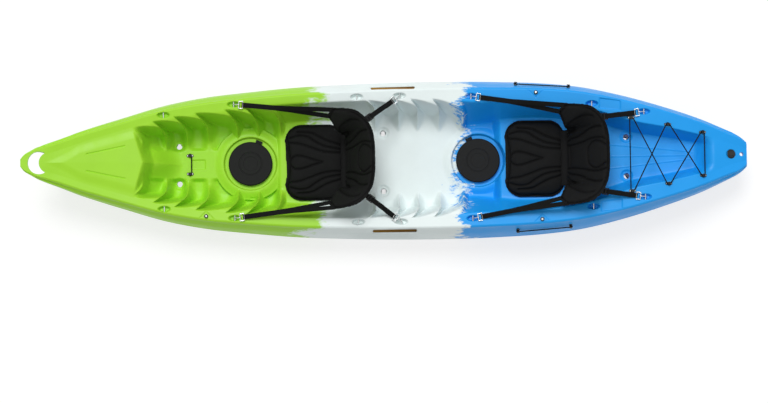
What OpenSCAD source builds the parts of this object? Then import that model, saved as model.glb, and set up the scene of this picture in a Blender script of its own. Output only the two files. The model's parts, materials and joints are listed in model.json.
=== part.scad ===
// Two-seat sit-on-top kayak with clip-in seats, two round hatches and a keel wheel.
// Frame: bow at -X, stern at +X, starboard at +Y, Z up from the keel.

/* [Hull] */
// Length over all
hull_l = 3700; // [3500:10:4000]
// Greatest beam, at the parting line
hull_beam = 810; // [780:5:860]
// Height that the hull lines are a percentage of, about the sheer at midship
hull_depth = 300; // [290:5:330]
// Wall of the moulded shell
hull_wall = 4.5; // [4:0.5:6]
// Thickness of the bow loop
loop_t = 30; // [26:1:36]
// Radius of the bow loop's finger slot
loop_slot_r = 58; // [50:1:60]

/* [Cockpit] */
// Forward end of the front footwell
foot_x = -1300; // [-1340:5:-1280]
// Height of the footwell floor
foot_z = 92; // [85:1:100]
// Place of the front seat's fold line
front_seat_x = -200; // [-230:5:-180]
// Place of the rear seat's fold line
rear_seat_x = 930; // [910:5:960]
// Height of the front seat pan
front_pan_z = 112; // [105:1:120]
// Height of the rear seat pan
rear_pan_z = 160; // [150:1:170]
// Height of the tank well floor
tank_z = 228; // [215:1:235]
// Length of the closed deck behind the tank well
stern_deck_l = 165; // [150:5:200]
// Length of one foot step
step_pitch = 106; // [95:1:115]
// Depth of the foot step pockets
step_depth = 24; // [15:1:28]
// Foot steps on each side of the front footwell
front_steps = 6; // [4:1:6]
// Foot steps on each side of the rear footwell
rear_steps = 4; // [3:1:4]
// Radius of a scupper hole
scupper_r = 15; // [12:0.5:18]

/* [Hand holds and eyes] */
// Length of the side hand slot
grip_l = 229; // [180:1:240]
// Width of the side hand slot
grip_w = 17; // [14:1:20]
// Length of a recessed eye's pocket
eye_l = 70; // [62:1:78]
// Width of a recessed eye's pocket
eye_w = 32; // [28:1:34]
// Depth of a recessed eye's pocket
eye_depth = 22; // [20:1:26]
// Radius of the bar across a recessed eye
eye_bar_r = 3; // [2.5:0.1:3.5]

/* [Hatches] */
// Place of the front hatch
front_hatch_x = -693; // [-720:1:-680]
// Place of the rear hatch
rear_hatch_x = 479; // [460:1:490]
// Radius of a hatch lid
lid_r = 113; // [108:1:118]
// Radius of the clear opening in a hatch rim
hatch_r = 82; // [75:1:86]

/* [Drain and wheel] */
// Distance of the drain plug from the stern
drain_inset = 84; // [80:1:95]
// Radius of the drain plug's head
plug_r = 18; // [15:0.5:20]
// Lead of the drain plug's thread
plug_lead = 4; // [3:0.5:5]
// Radius of the stern through-hole
stern_hole_r = 10; // [8:0.5:12]
// Distance of the wheel axle from the stern
wheel_inset = 215; // [210:1:225]
// Radius of the keel wheel
wheel_r = 72; // [66:1:74]
// Width of the keel wheel
wheel_w = 46; // [40:1:48]
// Radius of the wheel axle
axle_r = 6; // [5:0.5:8]

/* [Seats] */
// Length of a seat base
base_l = 312; // [290:1:330]
// Width of a seat base
base_w = 405; // [380:1:420]
// Thickness of a seat base at its crown
base_t = 40; // [32:1:45]
// Height of a backrest along its slope
back_h = 362; // [320:1:380]
// Half width of a backrest at its wings
back_w = 262; // [240:1:266]
// How far the wings reach forward
wing_l = 173; // [150:1:190]
// Thickness of a backrest
back_t = 30; // [24:1:36]
// Lean of the front backrest
front_lean = 25; // [18:1:28]
// Lean of the rear backrest
rear_lean = 36; // [24:1:38]

/* [Straps and cords] */
// Width of the seat webbing
web_w = 25; // [20:1:27]
// Thickness of the seat webbing
web_t = 2.4; // [1.8:0.1:2.8]
// Diameter of the bungee cord
cord_d = 6; // [5:0.2:7]
// Radius of a paddle knob
knob_r = 11; // [9:0.5:13]

/* [Hidden] */
$fn = 48;
// Running gap between pieces that touch on the real object
gap = 0.3;
// Clearance of a hole round a fixed piece
fit = 0.1;
bow_x = -hull_l / 2;
stern_x = hull_l / 2;

// Hull lines: station in percent of the half length, then percent of the half beam or of the depth
beam_line = [
  [-100, 5], [-99, 10.5], [-97, 16], [-95, 21], [-89, 31.5], [-83, 42], [-72, 58], [-61, 73], [-50, 83],
  [-39, 89], [-23, 95.5], [0, 99.4], [18, 100], [32, 98.5], [43, 96], [54, 90.4], [65, 79.3], [76, 64.7],
  [87, 47.2], [95, 30.8], [97.5, 25], [99, 20], [100, 15.5]];
sheer_line = [
  [-100, 131], [-95, 128], [-84, 119], [-73, 111], [-62, 106], [-51, 101], [-24, 97], [3, 99], [11, 102],
  [19, 106], [35, 114], [46, 118], [57, 121], [69, 121], [75, 118], [82, 112],
  [89, 104], [98, 88], [100, 83]];
parting_line = [
  [-100, 126], [-96, 115], [-90, 104], [-80, 89], [-70, 77], [-52, 63], [-29, 52], [2, 46], [25, 47],
  [39, 50], [57, 58], [77, 66], [90, 70], [100, 75]];
chine_line = [
  [-96, 95], [-90, 76], [-83, 61], [-70, 44], [-52, 33], [-29, 24], [2, 21], [22, 21], [39, 25], [57, 30],
  [68, 39], [82, 50], [96, 62], [100, 70]];
keel_line = [
  [-95.4, 111], [-92, 70], [-87, 37], [-81, 14], [-76, 7.3], [-62, 4.3], [-45, 1.4], [-27, 0], [38, 0],
  [54, 2.7], [78, 7.7], [87, 11.5], [92, 19], [95, 41], [97, 65], [98, 66.5], [100, 67]];

// Widths in mm along the stations: side lean, side ledge, well wall, keel strip, eye inset
lean_line = [
  [-100, 4], [-95, 12], [-85, 22], [-60, 32], [-30, 42], [0, 46], [40, 44], [70, 36], [90, 24], [100, 10]];
ledge_line = [
  [-70, 42], [-40, 50], [-8, 54], [14, 58], [24, 76], [40, 72], [57, 82], [68, 98], [78, 82],
  [88, 64], [92, 50]];
wall_line = [[-70, 70], [-40, 80], [-10, 75], [5, 96], [25, 90], [36, 66], [50, 52], [58, 48], [92, 36]];
strip_line = [[-95, 5], [-85, 14], [-70, 28], [-40, 48], [0, 55], [50, 52], [80, 45], [100, 44]];
inset_line = [[-61, 24], [-42, 26], [-8, 34], [4, 36], [24, 46], [57, 54], [71, 36]];

ledge_drop = 4;
bottom_tunnel = 0.36;
bow_stem = -95.5;
least_floor = 0.45;
most_keel = 0.22;
wheel_x = stern_x - wheel_inset;
wheel_gap = 6;
wheel_arch = wheel_r + wheel_gap;
tank_x = rear_seat_x + 70;
tank_end = stern_x - stern_deck_l;
front_step_x = foot_x + 20;
rear_step_x = front_seat_x + 110;
step_slant = 45;
grip_x = front_seat_x + 245;
pan_margin = 20;
// How far a cut runs past the face that it opens
over = 10;

function clamp01(t) = min(1, max(0, t));
function mix(a, b, t) = a + (b - a) * t;
function ease(a, b, x) = let (t = clamp01((x - a) / (b - a))) t * t * (3 - 2 * t);
function slope(p, i) =
  let (a = max(0, i - 1), b = min(len(p) - 1, i + 1)) (p[b][1] - p[a][1]) / (p[b][0] - p[a][0]);

// Smooth curve through the points of a line
function curve(p, x) =
  let (n = len(p) - 1)
  x <= p[0][0] ? p[0][1] :
  x >= p[n][0] ? p[n][1] :
  let (
    i = len([for (k = [1:n]) if (p[k][0] <= x) k]),
    h = p[i + 1][0] - p[i][0],
    t = (x - p[i][0]) / h,
    s = 1 - t)
  p[i][1] * (1 + 2 * t) * s * s + slope(p, i) * h * t * s * s
  + p[i + 1][1] * t * t * (3 - 2 * t) - slope(p, i + 1) * h * t * t * s;

function station(x) = 200 * x / hull_l;
function half_beam(x) = hull_beam / 200 * curve(beam_line, station(x));
function sheer(x) = hull_depth / 100 * curve(sheer_line, station(x));
function parting(x) = station(x) < bow_stem ? sheer(x) - loop_t / 2
  : min(sheer(x) - 12, hull_depth / 100 * curve(parting_line, station(x)));
function keel(x) = station(x) < bow_stem ? sheer(x) - loop_t
  : max(0, hull_depth / 100 * curve(keel_line, station(x)));
function chine(x) = min(mix(keel(x), parting(x), 0.85), max(mix(keel(x), parting(x), 0.3),
  hull_depth / 100 * curve(chine_line, station(x))));
function gunwale_y(x) = half_beam(x) - min(curve(lean_line, station(x)), half_beam(x) / 4);
function ledge_y(x) = max(gunwale_y(x) / 2, gunwale_y(x) - curve(ledge_line, station(x)));
function floor_y(x) = max(ledge_y(x) * least_floor, ledge_y(x) - curve(wall_line, station(x)),
  pan_share(x) * base_w / 2);
function ledge_z(x) = sheer(x) - ledge_drop;
function ledge_slope(x) = (sheer(x + 5) - sheer(x - 5)) / 10;
function keel_y(x) = min(curve(strip_line, station(x)), half_beam(x) * most_keel);

// How far the deck is opened into a well: 0 closed, 1 open
function open_share(x) = ease(foot_x, foot_x + 170, x) * (1 - ease(tank_end - 90, tank_end, x));
function pan_share(x) =
  ease(front_pan_x - 40, front_pan_x, x) - ease(front_seat_x + 30, front_seat_x + 90, x)
  + ease(rear_pan_x - 45, rear_pan_x, x) - ease(tank_x, tank_x + 80, x);
function floor_z(x) =
  foot_z
  + (front_pan_z - foot_z) * ease(front_pan_x - 40, front_pan_x, x)
  - (front_pan_z - foot_z) * ease(front_seat_x + 30, front_seat_x + 90, x)
  + (rear_pan_z - foot_z) * ease(rear_pan_x - 45, rear_pan_x, x)
  + (tank_z - rear_pan_z) * ease(tank_x, tank_x + 80, x);

// Scalloped foot steps, v from 0 at the floor to 1 at the ledge
function scallop(x, v) =
  let (
    a = (x - front_step_x - step_slant * (1 - v)) / step_pitch,
    b = (x - rear_step_x - step_slant * (1 - v)) / step_pitch,
    p = a > 0 && a < front_steps ? a : b > 0 && b < rear_steps ? b : 0)
  pow(abs(sin(180 * p)), 0.7);
function step_zone(x) =
  ease(front_step_x - 60, front_step_x, x) * (1 - ease(front_step_x + front_steps * step_pitch + 40,
    front_step_x + front_steps * step_pitch + 100, x))
  + ease(rear_step_x - 60, rear_step_x, x) * (1 - ease(rear_step_x + rear_steps * step_pitch + 40,
    rear_step_x + rear_steps * step_pitch + 100, x));

// Half section from the deck's centre over the gunwale to the keel, moved inwards by t
function half_section(x, t) =
  let (
    zs = sheer(x), zp = parting(x), zc = chine(x), zk = keel(x), zl = ledge_z(x),
    yb = half_beam(x), yg = gunwale_y(x), yl = ledge_y(x), yf = floor_y(x), yk = keel_y(x),
    w = open_share(x), zf = floor_z(x), d = min(1, (zs - zk) / 120),
    pan = pan_share(x), skeg = ease(60, 80, station(x)), bow = 1 - ease(-78, -38, station(x)),
    yc = yb * mix(mix(0.815, 0.72, bow), 0.8, skeg),
    yr = yb * mix(0.58, 0.62, skeg),
    zr = mix(zk, zc, mix(mix(0.1, 0.42, bow), 0.84, skeg)),
    yt = mix(yb * 0.31, min(yb * 0.4, yk + 8), skeg),
    zt = mix(zk, zc, mix(mix(bottom_tunnel, 0.3, bow), 0.62, skeg)),
    top = function (h) mix(mix(zs - 2, zl, h), mix(zf, zl, h), w),
    pocket = function (h) w * step_depth * (t > 0 ? step_zone(x) : scallop(x, h)),
    p = [
      [0, top(0), 0, -1],
      [mix(0.86, 0.96, pan) * yf, top(0), 0, -1],
      [yf + 0.5 * pocket(0.06), top(0.06), 0.7, -0.7],
      [mix(yf, yl, mix(0.3, 0.5, pan)) + pocket(0.3), top(0.3), 1, -0.3],
      [mix(yf, yl, mix(0.62, 0.85, pan)) + 0.9 * pocket(0.66), top(0.66), 1, -0.3],
      [mix(yf, yl, mix(0.9, 0.98, pan)) + 0.3 * pocket(0.93), top(0.93), 1, -0.5],
      [yl + 6 * d, top(1), 0.7, -1],
      [yg - 9 * d, zs - d, -0.4, -1],
      [yg, zs - 8 * d, -0.9, -0.6],
      [yg + 3 * d, zs - 22 * d, -1, -0.2],
      [mix(yg, yb, 0.5) + 5 * d, mix(zs, zp, 0.5), -1, 0],
      [yb - 2 * d, zp + 8 * d, -1, 0],
      [yb, zp - 2 * d, -1, 0],
      [mix(yb, yc, 0.55) + 6 * d, mix(zp, zc, 0.55), -0.8, 0.6],
      [yc + 4 * d, mix(zp, zc, 0.9), -0.8, 0.7],
      [yc - 12 * d, mix(zr, zc, 0.88), -0.5, 0.9],
      [mix(yc, yr, 0.5), mix(zc, zr, 0.62), -0.3, 1],
      [yr, zr + 1.5 * d, 0, 1],
      [yt, zt, 0, 1],
      [yk + 4 * d, zk + 4 * d, -0.4, 1],
      [yk - 2 * d, zk, -0.4, 1],
      [0, zk, 0, 1]])
  [for (q = p) [q[0] + t * q[2], q[1] + t * q[3]]];

// The void's half section keeps clear of the skin for a short way fore and aft
void_points = [0, 1, 2, 3, 4, 5, 6, 7, 9, 10, 12, 14, 15, 17, 18, 19, 21];
void_reach = 12;
function void_section(x, t) =
  let (a = half_section(x - void_reach, t), b = half_section(x, t), c = half_section(x + void_reach, t))
  [
    for (k = void_points) [
      k < 7 ? max(a[k][0], b[k][0], c[k][0]) : min(a[k][0], b[k][0], c[k][0]),
      k < 11 ? min(a[k][1], b[k][1], c[k][1]) : max(a[k][1], b[k][1], c[k][1])]];

function ring(x, h) =
  let (n = len(h))
  concat([for (q = h) [x, q[0], q[1]]], [for (i = [n - 2:-1:1]) [x, -h[i][0], h[i][1]]]);

function spread(a, b, n) = [for (i = [0:n - 1]) mix(a, b, i / n)];
function middle(r) = [for (k = [0:2]) [for (p = r) p[k]] * [for (p = r) 1] / len(r)];

// Closed skin over rings of equal count, each end closed to its middle
module skin(rings, closed = false) {
  n = len(rings);
  m = len(rings[0]);
  points = concat([for (r = rings) each r], closed ? [] : [middle(rings[0]), middle(rings[n - 1])]);
  sides = [
    for (i = [0:closed ? n - 1 : n - 2], j = [0:m - 1])
      let (a = i * m, b = (i + 1) % n * m, k = (j + 1) % m)
      each [[a + j, b + k, b + j], [a + j, a + k, b + k]]];
  ends = closed ? [] : [
    for (j = [0:m - 1])
      let (k = (j + 1) % m)
      each [[n * m, k, j], [n * m + 1, (n - 1) * m + j, (n - 1) * m + k]]];
  polyhedron(points, concat(sides, ends));
}

stem_x = bow_stem * hull_l / 200;
front_pan_x = front_seat_x - base_l - pan_margin;
rear_pan_x = rear_seat_x - base_l - pan_margin;
steps_end = front_step_x + (front_steps + 0.5) * step_pitch;
rear_steps_end = rear_step_x + (rear_steps + 0.5) * step_pitch;
stations = concat(
  [bow_x, bow_x + 8], spread(bow_x + 24, stem_x, 2), [stem_x - 1, stem_x + 1], spread(stem_x + 15, foot_x, 7),
  spread(foot_x, front_step_x + step_slant, 3),
  spread(front_step_x + step_slant, steps_end, 3 * front_steps + 1),
  [front_pan_x - 30, front_pan_x], spread(front_pan_x + 60, rear_step_x, 4),
  spread(rear_step_x, rear_steps_end, 3 * rear_steps + 2),
  spread(rear_steps_end, rear_pan_x - 45, 2), spread(rear_pan_x - 45, rear_pan_x, 3),
  spread(rear_pan_x, tank_x, 4), spread(tank_x, tank_x + 80, 3), spread(tank_x + 80, tank_end - 90, 7),
  spread(tank_end - 90, stern_x - 95, 4),
  spread(stern_x - 95, stern_x - 40, 4), [stern_x - 40, stern_x - 19, stern_x - 7, stern_x]);
void_stations = concat(
  spread(bow_x + 165, foot_x, 5), spread(foot_x, foot_x + 170, 5), spread(foot_x + 170, front_pan_x - 60, 6),
  spread(front_pan_x - 60, front_pan_x + 40, 2), spread(front_pan_x + 40, rear_pan_x - 65, 8),
  spread(rear_pan_x - 65, rear_pan_x + 20, 4), spread(rear_pan_x + 20, tank_x - 20, 3),
  spread(tank_x - 20, tank_x + 100, 4), spread(tank_x + 100, tank_end - 110, 8),
  spread(tank_end - 110, stern_x - 72, 6), [stern_x - 66]);

// Places of the fittings
fore_reach = [569, 487];
aft_reach = [279, 390];
eye_x = [
  foot_x + 173, front_seat_x - fore_reach[0], front_seat_x + 60, front_seat_x + aft_reach[0],
  rear_seat_x - fore_reach[1], rear_seat_x + 126, rear_seat_x + aft_reach[1]];
bar_drop = 8;
bar_seat = 4;
function eye_y(x) = gunwale_y(x) - curve(inset_line, station(x));
function bar_z(x) = ledge_z(x) - bar_drop;
scupper_at = [[foot_x + 239, 97], [front_seat_x + 192, 150], [stern_x - 614, 100]];
hatch_x = [front_hatch_x, rear_hatch_x];
hatch_sink = 4;
hatch_margin = 25;
function hatch_z(x) = floor_z(x) - hatch_sink;
rim_t = 5;
rim_wall = 4;
collar_h = 18;
rim_spigot = 7;
collar_r = hatch_r + rim_wall;
screw_count = 8;
screw_r = 2;
screw_l = 12;
screw_at = (lid_r + hatch_r + 9) / 2;
drain_x = stern_x - drain_inset;
drain_z = sheer(drain_x) - 8;
socket_r = plug_r - 3;
thread_turns = 5.5;
socket_l = thread_turns * plug_lead;
socket_flange = plug_r + 5;
seal_t = 2;
stern_hole_x = stern_x - 28;
axle_z = wheel_r;
cheek_y = 46;
cap_r = 14;
cap_t = 7;
cap_grip = 4;
hub_r = 46;
bush_r = axle_r + 3;
loop_bar = 36;
nose_r = 54;
nose_back = 53;
grip_y = gunwale_y(grip_x) + 8;
scoop_l = 462;
scoop_shift = -65;
scoop_margin = 100;
scoop_box = 200;
half_box = scoop_box / 2 - hull_wall;
scoop_z = [158, 233];
scoop_y = grip_y - 14;
scoop_depth = half_beam(grip_x) - 16 - scoop_y;
scoop_r = (scoop_l * scoop_l / 4 + scoop_depth * scoop_depth) / (2 * scoop_depth);

// Bungee hooks: a plate with two rivets and a mushroom post
cord_r = cord_d / 2;
plate_l = 36;
plate_w = 15;
plate_t = 3.5;
post_r = 4.5;
post_cap_r = 8;
post_cap_t = 3;
rivet_at = (plate_l - plate_w) / 2;
rivet_r = 2.4;
rivet_l = 7;
rivet_head_r = 4;
rivet_head_h = 1.6;
pad_sink = 0.8;
cord_z = plate_t + rivet_head_h + cord_r + gap;
post_h = cord_z + cord_r + 2;
turn_r = post_r + cord_r + gap;
foot_hook_x = foot_x + 295;
foot_hook_y = 47;
tank_hook_x = [stern_x - 596, stern_x - 410, stern_x - 231];
tank_hook_in = 14;
side_hook_x = [rear_seat_x - 257, rear_seat_x + 11];
side_hook_z = [273, 285];
knob_at = [[foot_x + 385, -1], [rear_seat_x - 157, 1], [rear_seat_x - 135, -1]];
knob_in = 22;
knob_h = 14;

// Seats
seat_x = [front_seat_x, rear_seat_x];
pan_z = [front_pan_z, rear_pan_z];
back_lean = [front_lean, rear_lean];
welt_r = 6;
base_edge = 12;
channel = 6;
front_corner = 90;
fold_corner = 85;
front_notch = 14;
function hinge_z(i) = pan_z[i] + gap + base_edge;
wing_low = 130;
wing_from = 0.15;
wing_flare = 0.62;
flare_from = 0.2;
wing_high = 205;
shoulder = 0.85;
shoulder_drop = 53;
back_edge = 10;
slider_l = 34;
slider_h = 8;
slider_at = 0.2;
ring_r = 2.3;
ring_l = 20;
ring_w = web_w + 11;
hook_r = 7;
hook_l = 30;
hook_wire = 2.2;
hook_tilt = 38;
gate_r = 1.7;
gate_end = 27;
gate_pivot = gate_end - gate_r - gap;
stub_l = 5;

// Half width of the eye bar as the wire of a hook on a strap that runs that way meets it
function bar_reach(way) =
  norm([eye_bar_r / abs(way[0]) * cos(hook_tilt), eye_bar_r * sin(hook_tilt)])
  + hook_wire * (1 / abs(way[0]) - 1);
function hook_slip(way) = hook_r - hook_wire - gap - bar_reach(way);
function ring_x(way) =
  (hook_slip(way) + hook_l) * cos(hook_tilt) + hook_r - hook_wire - ring_r - gap;
function ring_z(way) = (hook_slip(way) + hook_l) * sin(hook_tilt);

module slot2d(l, w) {
  square([l - w, w], center = true);
  for (s = [-1, 1])
    translate([s * (l - w) / 2, 0])
      circle(d = w);
}

// Sets its children on the ledge, turned to the slope of the sheer
module on_ledge(x, y, side) {
  translate([x, side * y, ledge_z(x) - pad_sink])
    rotate([0, -atan(ledge_slope(x)), 0])
      children();
}
module each_eye() {
  for (x = eye_x, s = [-1, 1])
    translate([x, s * eye_y(x), bar_z(x)])
      children();
}
module each_foot_hook() {
  for (s = [-1, 1])
    translate([foot_hook_x, s * foot_hook_y, floor_z(foot_hook_x) - pad_sink])
      children();
}
module each_tank_hook() {
  for (x = tank_hook_x, s = [-1, 1])
    on_ledge(x, ledge_y(x) + tank_hook_in, s)
      children();
}

// Point on the flat of the topside, between the gunwale and the parting line
function topside(x, z) =
  let (a = half_section(x, 0)[9], b = half_section(x, 0)[10])
  [x, mix(a[0], b[0], (a[1] - z) / (a[1] - b[1])), z];
side_a = topside(side_hook_x[0], side_hook_z[0]);
side_b = topside(side_hook_x[1], side_hook_z[1]);
side_span = norm(side_b - side_a);
side_up = topside(side_hook_x[0], side_hook_z[0] + 20) - side_a;

// Frame whose Y runs along a to b and whose Z stands off the plane of a, b and the direction up
module on_plane(a, b, up) {
  y = (b - a) / norm(b - a);
  n = cross(y, up) / norm(cross(y, up));
  x = cross(y, n);
  m = (a + b) / 2 - pad_sink * n;
  multmatrix([[x[0], y[0], n[0], m[0]], [x[1], y[1], n[1], m[1]], [x[2], y[2], n[2], m[2]]])
    children();
}
module on_side(side) {
  mirror([0, side < 0 ? 1 : 0, 0])
    on_plane(side_b, side_a, side_up)
      children();
}
module pair_of_hooks(span) {
  for (s = [-1, 1])
    translate([0, s * span / 2, 0])
      children();
}
module each_side_hook() {
  for (s = [-1, 1])
    on_side(s)
      pair_of_hooks(side_span)
        children();
}
module each_knob() {
  for (k = knob_at)
    on_ledge(k[0], gunwale_y(k[0]) - knob_in, k[1])
      children();
}
module hatch_screw_ring() {
  for (k = [0:screw_count - 1])
    rotate([0, 0, (k + 0.5) * 360 / screw_count])
      translate([screw_at, 0, 0])
        children();
}
module plate_recess() {
  cylinder(r = plate_l / 2 + 1, h = 12);
  for (s = [-1, 1])
    translate([s * rivet_at, 0, -rivet_l - 1])
      cylinder(r = rivet_r + fit, h = rivet_l + 2);
}
module across(r, l) {
  rotate([90, 0, 0])
    cylinder(r = r, h = l, center = true);
}

// Space inside the shell, clear of every moulded-in pocket by the wall
module hull_void() {
  difference() {
    skin([for (x = void_stations) ring(x, void_section(x, hull_wall))]);
    for (p = scupper_at, s = [-1, 1])
      translate([p[0], s * p[1], -over])
        cylinder(r = scupper_r + hull_wall, h = hull_depth);
    each_eye()
      translate([0, 0, bar_drop - eye_depth - hull_wall])
        linear_extrude(eye_depth + 4 * over)
          slot2d(eye_l + 2 * hull_wall, eye_w + 2 * hull_wall);
    for (x = hatch_x)
      translate([x, 0, hatch_z(x) - hull_wall])
        cylinder(r = lid_r + hatch_margin + hull_wall, h = hull_depth / 2);
    translate([drain_x, 0, drain_z - hull_wall])
      cylinder(r = socket_flange + 2 + hull_wall, h = hull_depth / 5);
    translate([wheel_x, 0, axle_z])
      cube([2 * (wheel_arch + hull_wall), 3 * cheek_y, 2 * (wheel_arch + hull_wall)], center = true);
    for (s = [-1, 1])
      translate([grip_x + scoop_shift, s * (scoop_y + half_box), scoop_z[0] + half_box])
        cube([scoop_l + scoop_margin, scoop_box, scoop_box], center = true);
  }
}

module hull() {
  color([0.93, 0.96, 0.96])
    difference() {
      skin([for (x = stations) ring(x, half_section(x, 0))]);
      hull_void();
      translate([bow_x + loop_bar + loop_slot_r, 0, hull_depth / 2])
        linear_extrude(hull_depth)
          difference() {
            circle(r = loop_slot_r);
            translate([nose_back, 0])
              circle(r = nose_r);
          }
      for (p = scupper_at, s = [-1, 1])
        translate([p[0], s * p[1], -over])
          cylinder(r = scupper_r, h = hull_depth);
      each_eye()
        union() {
          translate([0, 0, bar_drop - eye_depth])
            linear_extrude(eye_depth + 20)
              slot2d(eye_l, eye_w);
          across(eye_bar_r + fit, eye_w + 2 * bar_seat);
        }
      for (x = hatch_x)
        translate([x, 0, hatch_z(x)]) {
          cylinder(r = lid_r + hatch_margin, h = 120);
          translate([0, 0, -30])
            cylinder(r = collar_r + 2 * fit, h = 40);
          hatch_screw_ring()
            translate([0, 0, -screw_l])
              cylinder(r = screw_r, h = screw_l + 1);
        }
      translate([drain_x, 0, drain_z]) {
        cylinder(r = socket_flange + 2, h = 4 * over);
        translate([0, 0, -socket_l - over])
          cylinder(r = socket_r, h = socket_l + 2 * over);
      }
      translate([stern_hole_x, 0, hull_depth / 3])
        cylinder(r = stern_hole_r, h = hull_depth);
      translate([wheel_x, 0, 0])
        cube([2 * wheel_arch, wheel_w + 2 * wheel_gap, 2 * (axle_z + wheel_arch)], center = true);
      translate([wheel_x, 0, axle_z]) {
        across(axle_r + fit, 200);
        for (s = [-1, 1])
          translate([0, s * (cheek_y + 20), 0])
            across(cap_r + 1, 40);
      }
      for (s = [-1, 1]) {
        translate([grip_x, s * grip_y, scoop_z[1] - 30])
          linear_extrude(150)
            slot2d(grip_l, grip_w);
        translate([grip_x + scoop_shift, s * (scoop_y + scoop_r), scoop_z[0]])
          cylinder(r = scoop_r, h = scoop_z[1] - scoop_z[0], $fn = 200);
      }
      each_foot_hook()
        plate_recess();
      each_tank_hook()
        plate_recess();
      each_side_hook()
        plate_recess();
      each_knob()
        union() {
          cylinder(r = knob_r + 1.5, h = 15);
          translate([0, 0, -screw_l])
            cylinder(r = screw_r, h = screw_l + 1);
        }
    }
}

module padeye_bars() {
  color("silver")
    each_eye()
      across(eye_bar_r, eye_w + 2 * bar_seat);
}

module hatch_rim(x) {
  color([0.1, 0.1, 0.1])
    translate([x, 0, hatch_z(x)])
      difference() {
        rotate_extrude($fn = 96)
          polygon([
            [hatch_r, -rim_spigot], [collar_r, -rim_spigot], [collar_r, 0], [lid_r - 1, 0],
            [lid_r - 1, rim_t], [collar_r, rim_t], [collar_r, collar_h], [hatch_r, collar_h]]);
        hatch_screw_ring()
          union() {
            translate([0, 0, -1])
              cylinder(r = screw_r, h = rim_t + 2);
            translate([0, 0, rim_t - 2])
              cylinder(r1 = screw_r, r2 = screw_r + 2, h = 2);
          }
      }
}
module front_hatch_rim() { hatch_rim(front_hatch_x); }
module rear_hatch_rim() { hatch_rim(rear_hatch_x); }

module hatch_rim_screws() {
  color("silver")
    for (x = hatch_x)
      translate([x, 0, hatch_z(x)])
        hatch_screw_ring()
          union() {
            translate([0, 0, 0.5 - screw_l])
              cylinder(r = screw_r, h = rim_t + screw_l - 0.5);
            translate([0, 0, rim_t - 2])
              cylinder(r1 = screw_r, r2 = screw_r + 2, h = 2);
          }
}

lid_t = 5;
lid_skirt = rim_t + gap;
lid_top = collar_h + gap + lid_t;
tab_l = 15;
tab_w = 34;
tab_turn = 22;
groove_r = 58;
boss_r = 36;
module hatch_lid(x, tab_angle) {
  inner = collar_r + gap;
  color([0.15, 0.16, 0.165])
    translate([x, 0, hatch_z(x)])
      union() {
        rotate_extrude($fn = 96)
          polygon([
            [0, collar_h + gap], [inner, collar_h + gap], [inner, lid_skirt], [lid_r - 2, lid_skirt],
            [lid_r, lid_skirt + 3], [lid_r, lid_top - 6], [lid_r - 5, lid_top - 1], [groove_r + 4, lid_top],
            [groove_r + 2, lid_top - 2], [groove_r - 2, lid_top - 2], [groove_r - 4, lid_top],
            [boss_r + 2, lid_top], [boss_r, lid_top - 1.5], [0, lid_top - 1.5]]);
        rotate([0, 0, tab_angle])
          translate([lid_r - 8, -tab_w / 2, lid_skirt])
            cube([tab_l + 8, tab_w, 5]);
      }
}
module front_hatch_lid() { hatch_lid(front_hatch_x, 90 - tab_turn); }
module rear_hatch_lid() { hatch_lid(rear_hatch_x, 90 + tab_turn); }

thread_r = socket_r - 3;
plug_gap = 0.3;
module drain_socket() {
  color([0.1, 0.1, 0.1])
    translate([drain_x, 0, drain_z])
      difference() {
        union() {
          cylinder(r = socket_flange, h = 3);
          translate([0, 0, -socket_l])
            cylinder(r = socket_r - fit, h = socket_l);
        }
        translate([0, 0, -socket_l - 1])
          cylinder(r = thread_r, h = socket_l + 5);
      }
}
module drain_seal() {
  color([0.05, 0.05, 0.05])
    translate([drain_x, 0, drain_z + 3])
      difference() {
        cylinder(r = plug_r - 1, h = seal_t);
        translate([0, 0, -1])
          cylinder(r = thread_r, h = seal_t + 2);
      }
}
module drain_plug() {
  color([0.08, 0.08, 0.08])
    translate([drain_x, 0, drain_z + 3 + seal_t])
      difference() {
        union() {
          cylinder(r = plug_r, h = 6);
          translate([0, 0, -socket_l + 4])
            cylinder(r = thread_r - plug_gap, h = socket_l);
        }
        for (s = [-1, 1])
          translate([-plug_r, s * (plug_r / 2 + 4) - 4, 2])
            cube([2 * plug_r, 8, 10]);
      }
}

module wheel_tyre() {
  r = wheel_r;
  h = wheel_w / 2;
  color([0.06, 0.06, 0.06])
    translate([wheel_x, 0, axle_z])
      rotate([90, 0, 0])
        rotate_extrude($fn = 96)
          polygon([
            [hub_r, -h + 5], [r - 8, -h], [r - 3, -h + 3], [r, -h + 9], [r, h - 9], [r - 3, h - 3],
            [r - 8, h], [hub_r, h - 5]]);
}
module wheel_hub() {
  h = wheel_w / 2;
  color([0.12, 0.12, 0.12])
    translate([wheel_x, 0, axle_z])
      rotate([90, 0, 0])
        rotate_extrude($fn = 96)
          polygon([
            [bush_r, -h - 2], [bush_r + 7, -h - 2], [bush_r + 9, -8], [hub_r - 7, -8], [hub_r - 5, -h + 5],
            [hub_r, -h + 5], [hub_r, h - 5], [hub_r - 5, h - 5], [hub_r - 7, 8], [bush_r + 9, 8],
            [bush_r + 7, h + 2], [bush_r, h + 2]]);
}
module wheel_bush() {
  color([0.75, 0.75, 0.72])
    translate([wheel_x, 0, axle_z])
      difference() {
        across(bush_r, wheel_w + 4);
        across(axle_r + fit, wheel_w + 6);
      }
}
module wheel_axle() {
  color("silver")
    translate([wheel_x, 0, axle_z])
      across(axle_r, 2 * (cheek_y + cap_grip));
}
module axle_caps() {
  color([0.06, 0.06, 0.06])
    translate([wheel_x, 0, axle_z])
      for (s = [-1, 1])
        difference() {
          translate([0, s * (cheek_y + cap_t / 2), 0])
            across(cap_r, cap_t);
          translate([0, s * (cheek_y + cap_grip / 2), 0])
            across(axle_r, cap_grip);
        }
}

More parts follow.
